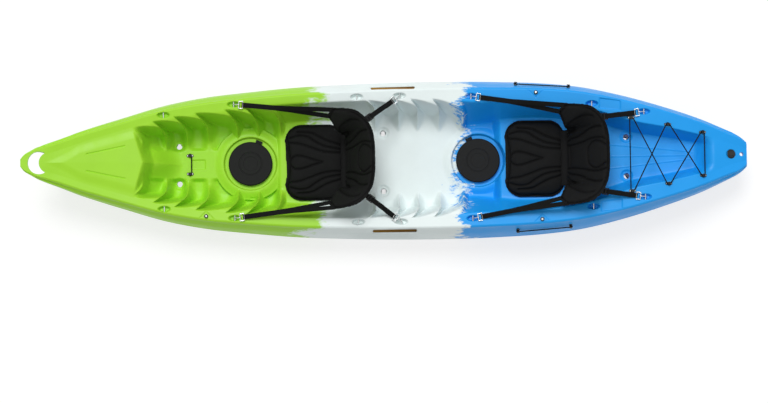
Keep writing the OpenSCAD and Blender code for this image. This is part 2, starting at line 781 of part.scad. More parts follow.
// Seat base: u runs from the front edge to the fold, v across
function corner(d, r) = d < r ? r - sqrt(r * r - (r - d) * (r - d)) : 0;
function base_half(u) =
  base_w / 2 - corner(base_l * u, front_corner) - corner(base_l * (1 - u), fold_corner);
base_side = [0.14, 0.28, 0.4, 0.52, 0.64, 0.76, 0.88, 0.96, 1];
base_v = concat([for (k = [8:-1:0]) -base_side[k]], [0], base_side);
base_u = [0, 0.02, 0.07, 0.14, 0.25, 0.38, 0.5, 0.62, 0.75, 0.86, 0.94, 0.99, 1];
function valley(v) = max([for (c = [0.28, 0.52, 0.76]) clamp01(1 - abs(abs(v) - c) / 0.1)]);
function base_rise(u, v) =
  base_edge
  + (1 - pow(abs(v), 5)) * (1 - pow(abs(2 * u - 1), 6)) * (base_t - base_edge - channel * valley(v));
function base_ring(i, u) =
  let (
    x0 = seat_x[i] - welt_r - gap - base_l, z = pan_z[i] + gap, h = base_half(u),
    notch = front_notch * pow(1 - u, 4))
  concat(
    [for (v = base_v) [x0 + base_l * u + notch * (1 - v * v), v * h, z + base_rise(u, v)]],
    [for (v = [0.96, 0.5, 0, -0.5, -0.96]) [x0 + base_l * u + notch * (1 - v * v), v * (h - 4), z]]);
module seat_base(i) {
  color([0.07, 0.07, 0.07])
    skin([for (u = base_u) base_ring(i, u)]);
}
module front_seat_base() { seat_base(0); }
module rear_seat_base() { seat_base(1); }
module seat_hinge(i) {
  color([0.05, 0.05, 0.05])
    translate([seat_x[i], 0, hinge_z(i)])
      across(welt_r, base_w - 2 * fold_corner);
}
module front_seat_hinge() { seat_hinge(0); }
module rear_seat_hinge() { seat_hinge(1); }

// Backrest: s from -1 to 1 across, h from the fold to the top edge, out is the offset towards the sitter
function back_y(s) = sign(s) * back_w * pow(sin(90 * abs(s)), 0.9);
function back_f(s) = wing_l * pow(1 - cos(90 * abs(s)), 1.3);
function back_low(s) = welt_r + gap + wing_low * ease(wing_from, 1, abs(s));
function back_top(s) =
  back_h - shoulder_drop * pow(min(1, abs(s) / shoulder), 2)
  - (back_h - shoulder_drop - wing_high) * ease(shoulder - 0.1, 1, abs(s));
// How far the wings lean out, sideways per unit of height
function back_flare(s) = wing_flare * ease(flare_from, 1, abs(s));
function back_flat(s) =
  let (
    a = [back_y(s - 0.01), back_f(s - 0.01)], b = [back_y(s + 0.01), back_f(s + 0.01)],
    d = (b - a) / norm(b - a))
  [-d[1], d[0]];
function back_point(i, s, h, out) =
  let (
    n = abs(s) > 0.985 ? [-sign(s), 0] : back_flat(s),
    c = mix(back_low(s), back_top(s), h),
    y = back_y(s) + n[0] * out - sign(s) * back_flare(s) * (back_top(s) - c), f = back_f(s) + n[1] * out)
  [
    seat_x[i] + c * sin(back_lean[i]) - f * cos(back_lean[i]), y,
    hinge_z(i) + c * cos(back_lean[i]) + f * sin(back_lean[i])];
back_s = [for (k = [-12:12]) -k / 12];
front_h = [0, 0.04, 0.12, 0.25, 0.4, 0.55, 0.7, 0.84, 0.95, 1];
rear_h = [0.93, 0.7, 0.45, 0.2, 0.06, 0];
function back_thick(s, h) =
  back_edge + (back_t - back_edge) * (1 - pow(abs(2 * h - 1), 4)) * (1 - 0.7 * pow(abs(s), 4));
function back_ring(i, s, k) =
  concat(
    [for (h = front_h) back_point(i, s, h, back_thick(s, h) * (k % 3 == 0 ? 0.62 : 0.75))],
    [for (h = rear_h) back_point(i, s, h, -0.25 * back_thick(s, h))]);
module backrest(i) {
  color([0.07, 0.07, 0.07])
    skin([for (k = [0:len(back_s) - 1]) back_ring(i, back_s[k], k)]);
}
module front_backrest() { backrest(0); }
module rear_backrest() { backrest(1); }

// Strap ends: i is the seat, side -1 port or 1 starboard, aft 0 or 1
function strap_eye(i, side, aft) =
  let (x = seat_x[i] + (aft ? aft_reach[i] : -fore_reach[i])) [x, side * eye_y(x), bar_z(x)];
function wing_end(i, side, h) =
  back_point(i, side, h, 0) + (gap + 0.1) * [-cos(back_lean[i]), 0, sin(back_lean[i])];
anchor_s = 0.5;
anchor_h = 0.8;
function back_anchor(i, side) =
  back_point(i, side * anchor_s, anchor_h, -0.25 * back_thick(anchor_s, anchor_h) - gap - 0.4);
function back_normal(i, s, h) =
  unit(cross(
    back_point(i, s, h + 0.02, 0) - back_point(i, s, h - 0.02, 0),
    back_point(i, s + 0.02, h, 0) - back_point(i, s - 0.02, h, 0)));
function strap_target(i, side, aft) = aft ? back_anchor(i, side) : wing_end(i, side, 0.5);
function strap_way(i, side, aft) =
  let (d = strap_target(i, side, aft) - strap_eye(i, side, aft)) [d[0], d[1], 0] / norm([d[0], d[1]]);
function ring_near(i, side, aft) =
  let (way = strap_way(i, side, aft))
  strap_eye(i, side, aft) + ring_x(way) * way + [0, 0, ring_z(way)];
function ring_far(i, side, aft) = ring_near(i, side, aft) + ring_l * strap_way(i, side, aft);
function strap_start(i, side, aft) =
  ring_far(i, side, aft) + (ring_r + 2 * gap + fit) * strap_way(i, side, aft);

// Flat ribbon along a path, its width turned to the given directions, its last end square to the way in
function unit(v) = v / norm(v);
function ribbon(path, wide, w, way_in) = [
  for (k = [0:len(path) - 1])
    let (
      t = k == len(path) - 1 ? way_in : unit(path[k + 1] - path[max(k - 1, 0)]),
      a = unit(wide[k] - (wide[k] * t) * t) * w / 2, n = unit(cross(t, a)) * web_t / 2, p = path[k])
    [p + a + n, p + a - n, p - a - n, p - a + n]];
leg_steps = 40;
function fore_leg(i, side, h, lift) =
  let (
    a = strap_start(i, side, 0) + [0, 0, lift], e = wing_end(i, side, h),
    out = side * cross([0, 0, 1], strap_way(i, side, 0)),
    up = unit(wing_end(i, side, 0.8) - wing_end(i, side, 0.2)))
  [
    for (k = [0:leg_steps])
      let (q = k / leg_steps, turn = 90 * ease(0.3, 1, q))
      [mix(a, e, q), out * cos(turn) + up * sin(turn)]];
module fore_strap(i, side) {
  color([0.08, 0.08, 0.08])
    for (leg = [[0.8, web_t / 2 + 0.2], [0.2, -web_t / 2 - 0.2]]) {
      path = fore_leg(i, side, leg[0], leg[1]);
      skin(ribbon(
        [for (p = path) p[0]], [for (p = path) p[1]], web_w, [cos(back_lean[i]), 0, -sin(back_lean[i])]));
    }
}
module aft_strap(i, side) {
  a = strap_start(i, side, 1);
  e = back_anchor(i, side);
  flat = cross(strap_way(i, side, 1), [0, 0, 1]);
  color([0.08, 0.08, 0.08])
    skin(ribbon(
      [a, mix(a, e, 0.5), mix(e, a, slider_at / 2), e], [flat, flat, flat, flat], web_w,
      back_normal(i, side * anchor_s, anchor_h)));
}
module front_port_fore_strap() { fore_strap(0, -1); }
module front_starboard_fore_strap() { fore_strap(0, 1); }
module front_port_aft_strap() { aft_strap(0, -1); }
module front_starboard_aft_strap() { aft_strap(0, 1); }
module rear_port_fore_strap() { fore_strap(1, -1); }
module rear_starboard_fore_strap() { fore_strap(1, 1); }
module rear_port_aft_strap() { aft_strap(1, -1); }
module rear_starboard_aft_strap() { aft_strap(1, 1); }

// Plastic slider that the aft strap passes through near the backrest
module sliders(i) {
  color([0.05, 0.05, 0.05])
    for (side = [-1, 1]) {
      a = strap_start(i, side, 1);
      e = back_anchor(i, side);
      x = unit(e - a);
      y = unit(cross([0, 0, 1], x));
      n = cross(x, y);
      m = mix(e, a, slider_at);
      multmatrix([[x[0], y[0], n[0], m[0]], [x[1], y[1], n[1], m[1]], [x[2], y[2], n[2], m[2]]])
        difference() {
          cube([slider_l, web_w + 8, slider_h], center = true);
          cube([slider_l + 2, web_w + 2 * gap, web_t + 2 * gap], center = true);
        }
    }
}
module front_strap_sliders() { sliders(0); }
module rear_strap_sliders() { sliders(1); }

// Sets its children at each strap end, X along the strap and the origin at the middle of the eye bar
module at_strap(i, side, aft) {
  $way = strap_way(i, side, aft);
  translate(strap_eye(i, side, aft))
    rotate([0, 0, atan2($way[1], $way[0])])
      children();
}
module each_strap() {
  for (i = [0, 1], side = [-1, 1], aft = [0, 1])
    at_strap(i, side, aft)
      children();
}
module strap_rings() {
  color("silver")
    each_strap()
      translate([ring_x($way), 0, ring_z($way)])
        union() {
          for (x = [0, ring_l])
            translate([x, 0, 0])
              across(ring_r, ring_w);
          for (s = [-1, 1])
            translate([0, s * ring_w / 2, 0])
              rotate([0, 90, 0])
                cylinder(r = ring_r, h = ring_l);
          for (x = [0, ring_l], s = [-1, 1])
            translate([x, s * ring_w / 2, 0])
              sphere(r = ring_r);
        }
}

// Hook bent as a long link in the upright plane, closed below by its gate
module bend() {
  rotate([90, 0, 0])
    rotate_extrude(angle = 180)
      translate([hook_r, 0])
        circle(r = hook_wire, $fn = 24);
}
module lengthwise(r, l) {
  rotate([0, 90, 0])
    cylinder(r = r, h = l, $fn = 24);
}
module hook_pose() {
  rotate([0, -hook_tilt, 0])
    translate([hook_slip($way), 0, 0])
      children();
}
module strap_hooks() {
  color("silver")
    each_strap()
      hook_pose()
        union() {
          rotate([0, -90, 0])
            bend();
          translate([hook_l, 0, 0])
            rotate([0, 90, 0])
              bend();
          translate([0, 0, hook_r])
            lengthwise(hook_wire, hook_l);
          translate([0, 0, -hook_r])
            lengthwise(hook_wire, stub_l);
          translate([gate_end, 0, -hook_r])
            lengthwise(hook_wire, hook_l - gate_end);
        }
}
module hook_gate(i, side, aft) {
  color("silver")
    at_strap(i, side, aft)
      hook_pose()
        translate([0, 0, -hook_r]) {
          translate([stub_l + gap, 0, 0])
            lengthwise(gate_r, gate_pivot - stub_l - gap);
          translate([gate_pivot, 0, 0])
            across(gate_r, 2 * hook_wire);
        }
}
module front_port_fore_gate() { hook_gate(0, -1, 0); }
module front_port_aft_gate() { hook_gate(0, -1, 1); }
module front_starboard_fore_gate() { hook_gate(0, 1, 0); }
module front_starboard_aft_gate() { hook_gate(0, 1, 1); }
module rear_port_fore_gate() { hook_gate(1, -1, 0); }
module rear_port_aft_gate() { hook_gate(1, -1, 1); }
module rear_starboard_fore_gate() { hook_gate(1, 1, 0); }
module rear_starboard_aft_gate() { hook_gate(1, 1, 1); }

// Bungee cords: tubes of eight sides along their route
cord_sides = 8;
function tube_ring(p, t, r) =
  let (a = unit(cross(t, abs(t[2]) > 0.9 ? [1, 0, 0] : [0, 0, 1])), b = cross(a, t))
  [for (k = [0:cord_sides - 1]) p + r * (a * cos(k * 360 / cord_sides) + b * sin(k * 360 / cord_sides))];
function tube(path, r) = [
  for (k = [0:len(path) - 1])
    tube_ring(path[k], unit(path[min(k + 1, len(path) - 1)] - path[max(k - 1, 0)]), r[k])];
function loop_tube(path, r) = let (n = len(path)) [
  for (k = [0:n - 1]) tube_ring(path[k], unit(path[(k + 1) % n] - path[(k + n - 1) % n]), r[k])];

// Cord between two hooks on the Y axis, turned round each post
module strung_cord(span) {
  half = span / 2;
  turns = [for (a = [200:-25:0]) [turn_r * cos(a), half + turn_r * sin(a), cord_z]];
  back = [for (k = [len(turns) - 1:-1:0]) [turns[k][0], -turns[k][1], cord_z]];
  skin(tube(concat(turns, [[turn_r, 0, cord_z]], back), [for (k = [1:2 * len(turns) + 1]) cord_r]));
}
module bungee_hook() {
  difference() {
    union() {
      linear_extrude(plate_t)
        slot2d(plate_l, plate_w);
      cylinder(r = post_r, h = post_h);
      translate([0, 0, post_h])
        cylinder(r = post_cap_r, h = post_cap_t);
    }
    for (s = [-1, 1])
      translate([s * rivet_at, 0, -1])
        cylinder(r = rivet_r, h = plate_t + 2);
  }
}
module hook_rivets() {
  for (s = [-1, 1])
    translate([s * rivet_at, 0, 0]) {
      translate([0, 0, -rivet_l])
        cylinder(r = rivet_r, h = rivet_l + plate_t + 0.5);
      translate([0, 0, plate_t])
        cylinder(r = rivet_head_r, h = rivet_head_h);
    }
}
module foot_bungee() {
  color([0.05, 0.05, 0.05])
    translate([foot_hook_x, 0, floor_z(foot_hook_x) - pad_sink])
      strung_cord(2 * foot_hook_y);
}
module foot_bungee_hooks() {
  color([0.06, 0.06, 0.06])
    each_foot_hook()
      bungee_hook();
}

// Tank well lacing: one loop from post to post that crosses itself twice
function tank_post(k, side) =
  let (x = tank_hook_x[k], lean = atan(ledge_slope(x)))
  [
    x - cord_z * sin(lean), side * (ledge_y(x) + tank_hook_in),
    ledge_z(x) - pad_sink + cord_z * cos(lean)];
function round_post(k, side, a0, a1) = [
  for (a = [a0:(a1 - a0) / 5:a1 + (a1 - a0) / 20])
    tank_post(k, side) + turn_r * [cos(a), side * sin(a), cos(a) * ledge_slope(tank_hook_x[k])]];
cross_lift = [0, 0, cord_r + gap];
lacing = concat(
  round_post(0, 1, 190, 30),
  [mix(tank_post(0, 1), tank_post(1, -1), 0.5) + cross_lift],
  round_post(1, -1, 150, 35),
  [mix(tank_post(1, -1), tank_post(2, 1), 0.5) - cross_lift],
  round_post(2, 1, 145, -10),
  [mix(tank_post(2, 1), tank_post(2, -1), 0.5) + [turn_r, 0, 0]],
  round_post(2, -1, -10, 145),
  [mix(tank_post(2, -1), tank_post(1, 1), 0.5) + cross_lift],
  round_post(1, 1, 35, 150),
  [mix(tank_post(1, 1), tank_post(0, -1), 0.5) - cross_lift],
  round_post(0, -1, 30, 190),
  [mix(tank_post(0, -1), tank_post(0, 1), 0.5) - [turn_r, 0, 0]]);
module tank_bungee() {
  color([0.05, 0.05, 0.05])
    skin(loop_tube(lacing, [for (p = lacing) cord_r]), closed = true);
}
module tank_bungee_hooks() {
  color([0.06, 0.06, 0.06])
    each_tank_hook()
      bungee_hook();
}
module port_paddle_bungee() {
  color([0.05, 0.05, 0.05])
    on_side(-1)
      strung_cord(side_span);
}
module starboard_paddle_bungee() {
  color([0.05, 0.05, 0.05])
    on_side(1)
      strung_cord(side_span);
}
module paddle_bungee_hooks() {
  color([0.06, 0.06, 0.06])
    each_side_hook()
      bungee_hook();
}
module cord_rivets() {
  color("silver") {
    each_foot_hook()
      hook_rivets();
    each_tank_hook()
      hook_rivets();
    each_side_hook()
      hook_rivets();
  }
}

module paddle_knobs() {
  color([0.05, 0.05, 0.05])
    each_knob()
      difference() {
        rotate_extrude()
          polygon([
            [0, 0], [knob_r, 0], [knob_r, 3], [knob_r - 4, 4], [knob_r - 5, 8], [knob_r - 2, 10],
            [knob_r - 2, knob_h], [0, knob_h]]);
        translate([0, 0, -1])
          cylinder(r = screw_r, h = knob_h + 2);
      }
}
module paddle_knob_screws() {
  color("silver")
    each_knob()
      union() {
        translate([0, 0, 0.5 - screw_l])
          cylinder(r = screw_r, h = screw_l + knob_h);
        translate([0, 0, knob_h])
          cylinder(r = screw_r + 3, h = 2);
      }
}

hull();
padeye_bars();
front_hatch_rim();
rear_hatch_rim();
hatch_rim_screws();
front_hatch_lid();
rear_hatch_lid();
drain_socket();
drain_seal();
drain_plug();
wheel_tyre();
wheel_hub();
wheel_bush();
wheel_axle();
axle_caps();
front_seat_base();
rear_seat_base();
front_seat_hinge();
rear_seat_hinge();
front_backrest();
rear_backrest();
front_port_fore_strap();
front_starboard_fore_strap();
front_port_aft_strap();
front_starboard_aft_strap();
rear_port_fore_strap();
rear_starboard_fore_strap();
rear_port_aft_strap();
rear_starboard_aft_strap();
front_strap_sliders();
rear_strap_sliders();
strap_rings();
strap_hooks();
front_port_fore_gate();
front_port_aft_gate();
front_starboard_fore_gate();
front_starboard_aft_gate();
rear_port_fore_gate();
rear_port_aft_gate();
rear_starboard_fore_gate();
rear_starboard_aft_gate();
foot_bungee();
foot_bungee_hooks();
tank_bungee();
tank_bungee_hooks();
port_paddle_bungee();
starboard_paddle_bungee();
paddle_bungee_hooks();
cord_rivets();
paddle_knobs();
paddle_knob_screws();
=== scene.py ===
"""Looks of a two-seat sit-on-top kayak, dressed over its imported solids.

Frame: metres, bow at -X, stern at +X, starboard at +Y, Z up from the keel.
"""

import json
import math

import bpy
import numpy as np
from mathutils import Matrix, Vector


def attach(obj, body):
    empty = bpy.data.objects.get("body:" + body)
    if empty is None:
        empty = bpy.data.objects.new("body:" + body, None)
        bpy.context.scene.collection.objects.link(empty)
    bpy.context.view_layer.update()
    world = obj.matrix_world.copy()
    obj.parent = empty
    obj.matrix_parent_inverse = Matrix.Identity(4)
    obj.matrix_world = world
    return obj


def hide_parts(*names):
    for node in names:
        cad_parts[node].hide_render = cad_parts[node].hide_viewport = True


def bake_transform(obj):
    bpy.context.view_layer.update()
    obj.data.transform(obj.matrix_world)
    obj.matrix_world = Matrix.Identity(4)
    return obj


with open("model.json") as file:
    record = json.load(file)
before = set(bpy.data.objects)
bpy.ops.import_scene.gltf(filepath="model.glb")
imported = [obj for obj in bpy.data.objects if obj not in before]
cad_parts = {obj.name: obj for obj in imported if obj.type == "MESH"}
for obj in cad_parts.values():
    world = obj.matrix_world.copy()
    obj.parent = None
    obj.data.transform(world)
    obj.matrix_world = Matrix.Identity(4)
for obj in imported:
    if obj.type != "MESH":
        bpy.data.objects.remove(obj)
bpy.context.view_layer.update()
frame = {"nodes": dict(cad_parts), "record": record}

# Hull lines, as in the part: station in percent of the half length, then percent of half beam or depth
HULL_L = 3.7
HALF_BEAM = 0.405
HULL_DEPTH = 0.3
LOOP_T = 0.03
BOW_STEM = -95.5
BEAM_LINE = (
    (-100, 5), (-99, 10.5), (-97, 16), (-95, 21), (-89, 31.5), (-83, 42), (-72, 58), (-61, 73), (-50, 83),
    (-39, 89), (-23, 95.5), (0, 99.4), (18, 100), (32, 98.5), (43, 96), (54, 90.4), (65, 79.3), (76, 64.7),
    (87, 47.2), (95, 30.8), (97.5, 25), (99, 20), (100, 15.5))
SHEER_LINE = (
    (-100, 131), (-95, 128), (-84, 119), (-73, 111), (-62, 106), (-51, 101), (-24, 97), (3, 99), (11, 102),
    (19, 106), (35, 114), (46, 118), (57, 121), (69, 121), (75, 118), (82, 112), (89, 104), (98, 88),
    (100, 83))
PARTING_LINE = (
    (-100, 126), (-96, 115), (-90, 104), (-80, 89), (-70, 77), (-52, 63), (-29, 52), (2, 46), (25, 47),
    (39, 50), (57, 58), (77, 66), (90, 70), (100, 75))
CHINE_LINE = (
    (-96, 95), (-90, 76), (-83, 61), (-70, 44), (-52, 33), (-29, 24), (2, 21), (22, 21), (39, 25), (57, 30),
    (68, 39), (82, 50), (96, 62), (100, 70))
KEEL_LINE = (
    (-95.4, 111), (-92, 70), (-87, 37), (-81, 14), (-76, 7.3), (-62, 4.3), (-45, 1.4), (-27, 0), (38, 0),
    (54, 2.7), (78, 7.7), (87, 11.5), (92, 19), (95, 41), (97, 65), (98, 66.5), (100, 67))

# Widths in millimetres along the stations
LEAN_LINE = (
    (-100, 4), (-95, 12), (-85, 22), (-60, 32), (-30, 42), (0, 46), (40, 44), (70, 36), (90, 24), (100, 10))
LEDGE_LINE = (
    (-70, 42), (-40, 50), (-8, 54), (14, 58), (24, 76), (40, 72), (57, 82), (68, 98), (78, 82), (88, 64),
    (92, 50))
WALL_LINE = (
    (-70, 70), (-40, 80), (-10, 75), (5, 96), (25, 90), (36, 66), (50, 52), (58, 48), (92, 36))
STRIP_LINE = (
    (-95, 5), (-85, 14), (-70, 28), (-40, 48), (0, 55), (50, 52), (80, 45), (100, 44))
EYE_INSET_LINE = (
    (-61, 24), (-42, 26), (-8, 34), (4, 36), (24, 46), (57, 54), (71, 36))

# Places along the boat
SEATS = ("front", "rear")
SIDES = ((-1, "port"), (1, "starboard"))
FOOT_X = -1.3
FOOT_Z = 0.092
SEAT_X = {"front": -0.2, "rear": 0.93}
PAN_Z = {"front": 0.112, "rear": 0.16}
PAN_X = {"front": -0.532, "rear": 0.598}
PAN_RAMP = {"front": 0.04, "rear": 0.045}
PAN_STEP = (0.03, 0.09)
TANK_X = 1.0
TANK_Z = 0.228
TANK_RAMP = 0.08
TANK_END = 1.685
TANK_RISE = 0.11
HATCH_X = (-0.693, 0.479)
HATCH_RECESS_R = 0.138
EYE_X = (-1.127, -0.769, -0.14, 0.079, 0.443, 1.056, 1.32)
EYE_HALF = (0.035, 0.016)
SCUPPERS = ((-1.061, 0.097), (-0.008, 0.15), (1.236, 0.1))
SCUPPER_R = 0.015
STERN_HOLE = (1.822, 0.0)
STERN_HOLE_R = 0.01
DRAIN_X = 1.766
DRAIN_RECESS_R = 0.025
WHEEL_X = 1.635
WHEEL_SLOT = (0.078, 0.029, 0.15)
WHEEL_CORNER = 0.002
KNOBS = ((-0.915, -0.2798), (0.773, 0.3248), (0.795, -0.3233))
LOOP_END = -1.7
SLOT_CENTRE = -1.756
SLOT_R = 0.058
NOSE_CENTRE = -1.703
NOSE_R = 0.054

# Seats: base from its front edge to the fold, backrest from the fold up, wings forward
BASE_L = 0.312
BASE_W = 0.405
BASE_T = 0.04
BASE_EDGE = 0.012
FRONT_CORNER = 0.09
FOLD_CORNER = 0.085
FRONT_NOTCH = 0.014
WELT = 0.0063
GAP = 0.0003
BACK_H = 0.362
BACK_W = 0.262
BACK_T = 0.03
BACK_EDGE = 0.01
BACK_LEAN = {"front": math.radians(25), "rear": math.radians(36)}
WING_L = 0.173
WING_LOW = 0.13
WING_FROM = 0.15
WING_FLARE = 0.62
FLARE_FROM = 0.2
WING_HIGH = 0.205
WING_THIN = 0.7
SHOULDER = 0.85
SHOULDER_DROP = 0.053
SHOULDER_EASE = 0.1

# The backrest's plan curve: powers of its width and of its forward reach, step of its slope, and its ends
PLAN_WIDTH = 0.9
PLAN_REACH = 1.3
PLAN_STEP = 0.01
PLAN_END = 0.985


def clamp01(t):
    return np.clip(t, 0.0, 1.0)


def mix(a, b, t):
    return a + (b - a) * t


def ease(a, b, x):
    """Smooth step from 0 at a to 1 at b."""
    t = clamp01((x - a) / (b - a))
    return t * t * (3 - 2 * t)


def unit(v):
    """Vectors brought to length 1."""
    return v / np.linalg.norm(v, axis=-1, keepdims=True)


def run_along(points):
    """Distance of each point from the first one, along the lines between them."""
    return np.concatenate([[0], np.cumsum(np.linalg.norm(np.diff(points, axis=0), axis=1))])


def neighbours(count):
    """Numbers of the points before and after each of some points; an end stands for its missing one."""
    k = np.arange(count)
    return np.maximum(k - 1, 0), np.minimum(k + 1, count - 1)


def cubic(a, b, slope_a, slope_b, h, t):
    """Value at the share t of a cubic piece of length h from a to b with given end slopes."""
    s = 1 - t
    return (
        a * (1 + 2 * t) * s * s + slope_a * h * t * s * s
        + b * t * t * (3 - 2 * t) - slope_b * h * t * t * s)


def curve(line, at):
    """Cubic pieces through the points of a line, each point's slope that of its two neighbours."""
    px, py = np.array(line, float).T
    low, high = neighbours(len(px))
    slope = (py[high] - py[low]) / (px[high] - px[low])
    x = np.clip(at, px[0], px[-1])
    i = np.clip(np.searchsorted(px, x, side="right") - 1, 0, len(px) - 2)
    h = px[i + 1] - px[i]
    return cubic(py[i], py[i + 1], slope[i], slope[i + 1], h, (x - px[i]) / h)


def station(x):
    return 200 * x / HULL_L


def height_of(line, x):
    return HULL_DEPTH / 100 * curve(line, station(x))


def width_of(line, x):
    return curve(line, station(x)) / 1000


def half_beam(x):
    return HALF_BEAM / 100 * curve(BEAM_LINE, station(x))


def sheer(x):
    return height_of(SHEER_LINE, x)


def gunwale_y(x):
    return half_beam(x) - np.minimum(width_of(LEAN_LINE, x), half_beam(x) / 4)


def ledge_y(x):
    return np.maximum(gunwale_y(x) / 2, gunwale_y(x) - width_of(LEDGE_LINE, x))


LEDGE_SINK = 0.004
LEAST_FLOOR = 0.45


def well_steps(x):
    """Shares along the boat of the front pan, the rear pan and the rise to the tank well."""
    fold = SEAT_X["front"]
    front, rear = (ease(PAN_X[seat] - PAN_RAMP[seat], PAN_X[seat], x) for seat in SEATS)
    front = front - ease(fold + PAN_STEP[0], fold + PAN_STEP[1], x)
    return front, rear, ease(TANK_X, TANK_X + TANK_RAMP, x)


def floor_y(x):
    front, rear, tank = well_steps(x)
    wall = ledge_y(x) - width_of(WALL_LINE, x)
    return np.maximum(np.maximum(ledge_y(x) * LEAST_FLOOR, wall), (front + rear - tank) * BASE_W / 2)


def ledge_z(x):
    return sheer(x) - LEDGE_SINK


def eye_y(x):
    return gunwale_y(x) - width_of(EYE_INSET_LINE, x)


def floor_z(x):
    """Height of the well floor: footwell, front pan, footwell, rear pan and tank well in turn."""
    front, rear, tank = well_steps(x)
    return (
        FOOT_Z + (PAN_Z["front"] - FOOT_Z) * front + (PAN_Z["rear"] - FOOT_Z) * rear
        + (TANK_Z - PAN_Z["rear"]) * tank)


# Section: limits of the parting line, chine and keel strip, and the stations where skeg and bow take over
PARTING_SINK = 0.012
CHINE_SHARES = (0.3, 0.85)
STRIP_SHARE = 0.22
FULL_DEPTH = 0.12
SKEG_RUN = (60, 80)
BOW_RUN = (-78, -38)


def hull_section(x):
    """Knots of the half section from the gunwale down to the keel, as two arrays, stations by knots.

    Shares are of the beam or of the depth between two knots; d is a millimetre, less where the hull is flat.
    """
    s = station(x)
    zs = sheer(x)
    loop = 1 - ease(BOW_STEM - 1, BOW_STEM + 1, s)
    zp = mix(np.minimum(zs - PARTING_SINK, height_of(PARTING_LINE, x)), zs - LOOP_T / 2, loop)
    zk = mix(np.maximum(0, height_of(KEEL_LINE, x)), zs - LOOP_T, loop)
    lowest, highest = (mix(zk, zp, share) for share in CHINE_SHARES)
    zc = np.minimum(highest, np.maximum(lowest, height_of(CHINE_LINE, x)))
    yb = half_beam(x)
    yg = gunwale_y(x)
    yk = np.minimum(width_of(STRIP_LINE, x), yb * STRIP_SHARE)
    d = np.minimum(1, (zs - zk) / FULL_DEPTH) / 1000
    skeg = ease(*SKEG_RUN, s)
    bow = 1 - ease(*BOW_RUN, s)
    yc = yb * mix(mix(0.815, 0.72, bow), 0.8, skeg)
    yr = yb * mix(0.58, 0.62, skeg)
    zr = mix(zk, zc, mix(mix(0.1, 0.42, bow), 0.84, skeg))
    yt = mix(yb * 0.31, np.minimum(yb * 0.4, yk + 0.008), skeg)
    zt = mix(zk, zc, mix(mix(0.36, 0.3, bow), 0.62, skeg))
    knots = (
        (yg - 9 * d, zs - d),
        (yg, zs - 8 * d),
        (yg + 3 * d, zs - 22 * d),
        (mix(yg, yb, 0.5) + 5 * d, mix(zs, zp, 0.5)),
        (yb - 2 * d, zp + 8 * d),
        (yb, zp - 2 * d),
        (mix(yb, yc, 0.55) + 6 * d, mix(zp, zc, 0.55)),
        (yc + 4 * d, mix(zp, zc, 0.9)),
        (yc - 12 * d, mix(zr, zc, 0.88)),
        (mix(yc, yr, 0.5), mix(zc, zr, 0.62)),
        (yr, zr + 1.5 * d),
        (yt, zt),
        (yk + 4 * d, zk + 4 * d),
        (yk - 2 * d, zk),
        (0 * yk, zk))
    return np.stack([k[0] for k in knots], 1), np.stack([k[1] for k in knots], 1)


SIDE_PARTS = (3, 3, 16, 14, 3, 6, 4, 3, 4, 5, 6, 6, 2, 4)


def refine(y, z):
    """Cubic pieces through the knots of every station, each divided into its own count of parts."""
    step = np.hypot(np.diff(y, axis=1), np.diff(z, axis=1)) + 1e-6
    t = np.concatenate([np.zeros((len(y), 1)), np.cumsum(step, 1)], 1)
    low, high = neighbours(y.shape[1])
    out = []
    for v in (y, z):
        slope = (v[:, high] - v[:, low]) / (t[:, high] - t[:, low])
        points = [
            cubic(v[:, p], v[:, p + 1], slope[:, p], slope[:, p + 1], step[:, p], k / parts)
            for p, parts in enumerate(SIDE_PARTS) for k in range(parts)]
        out.append(np.array(points + [v[:, -1]]).T)
    return out


# Foot steps: places of the ridges, then the run, slant and foot of the leaves between them
FRONT_STEPS = ((-1.295, -1.184, -1.076, -0.969, -0.816, -0.711, -0.6), 0.096, 0.061, 0.115)
REAR_STEPS = ((-0.085, 0.034, 0.131, 0.243, 0.362), 0.056, 0.038, 0.106)
STEP_ENDS = (0.02, 0.03)
LEAF_SHIFT = 0.04
LEAF_DROP = 0.045
LEAF_SHARE = 0.85
LEAF_FULL = 0.6
LEAF_EDGE = (-0.004, 0.012)
RIDGE_REACH = 0.045
RIDGE_SHARP = 4


def step_phase(x, ridges):
    """Place among the ridges, a whole number on each ridge, and 1 inside the run of ridges."""
    phase = np.interp(x, ridges, np.arange(len(ridges)))
    first, last = ridges[0], ridges[-1]
    return phase, ease(first - STEP_ENDS[0], first, x) * (1 - ease(last, last + STEP_ENDS[1], x))


def oval(x, y, centre, half):
    """Distance, about true near the edge, to an oval in plan, negative inside."""
    return (np.hypot((x - centre[0]) / half[0], (y - centre[1]) / half[1]) - 1) * min(half)


def capsule(x, y, a, b, r):
    """Distance to a round-ended bar between two plan points."""
    ax, ay = a
    dx, dy = b[0] - ax, b[1] - ay
    t = clamp01(((x - ax) * dx + (y - ay) * dy) / (dx * dx + dy * dy))
    return np.hypot(x - ax - t * dx, y - ay - t * dy) - r


def block(x, y, centre, half, r):
    """Distance to a rectangle with rounded corners in plan."""
    qx = np.abs(x - centre[0]) - half[0] + r
    qy = np.abs(y - centre[1]) - half[1] + r
    return np.hypot(np.maximum(qx, 0), np.maximum(qy, 0)) + np.minimum(np.maximum(qx, qy), 0) - r


def inside(distance, edge):
    """1 well inside a shape, falling to 0 at its outline over the width of the edge."""
    return 1 - ease(-edge, 0, distance)


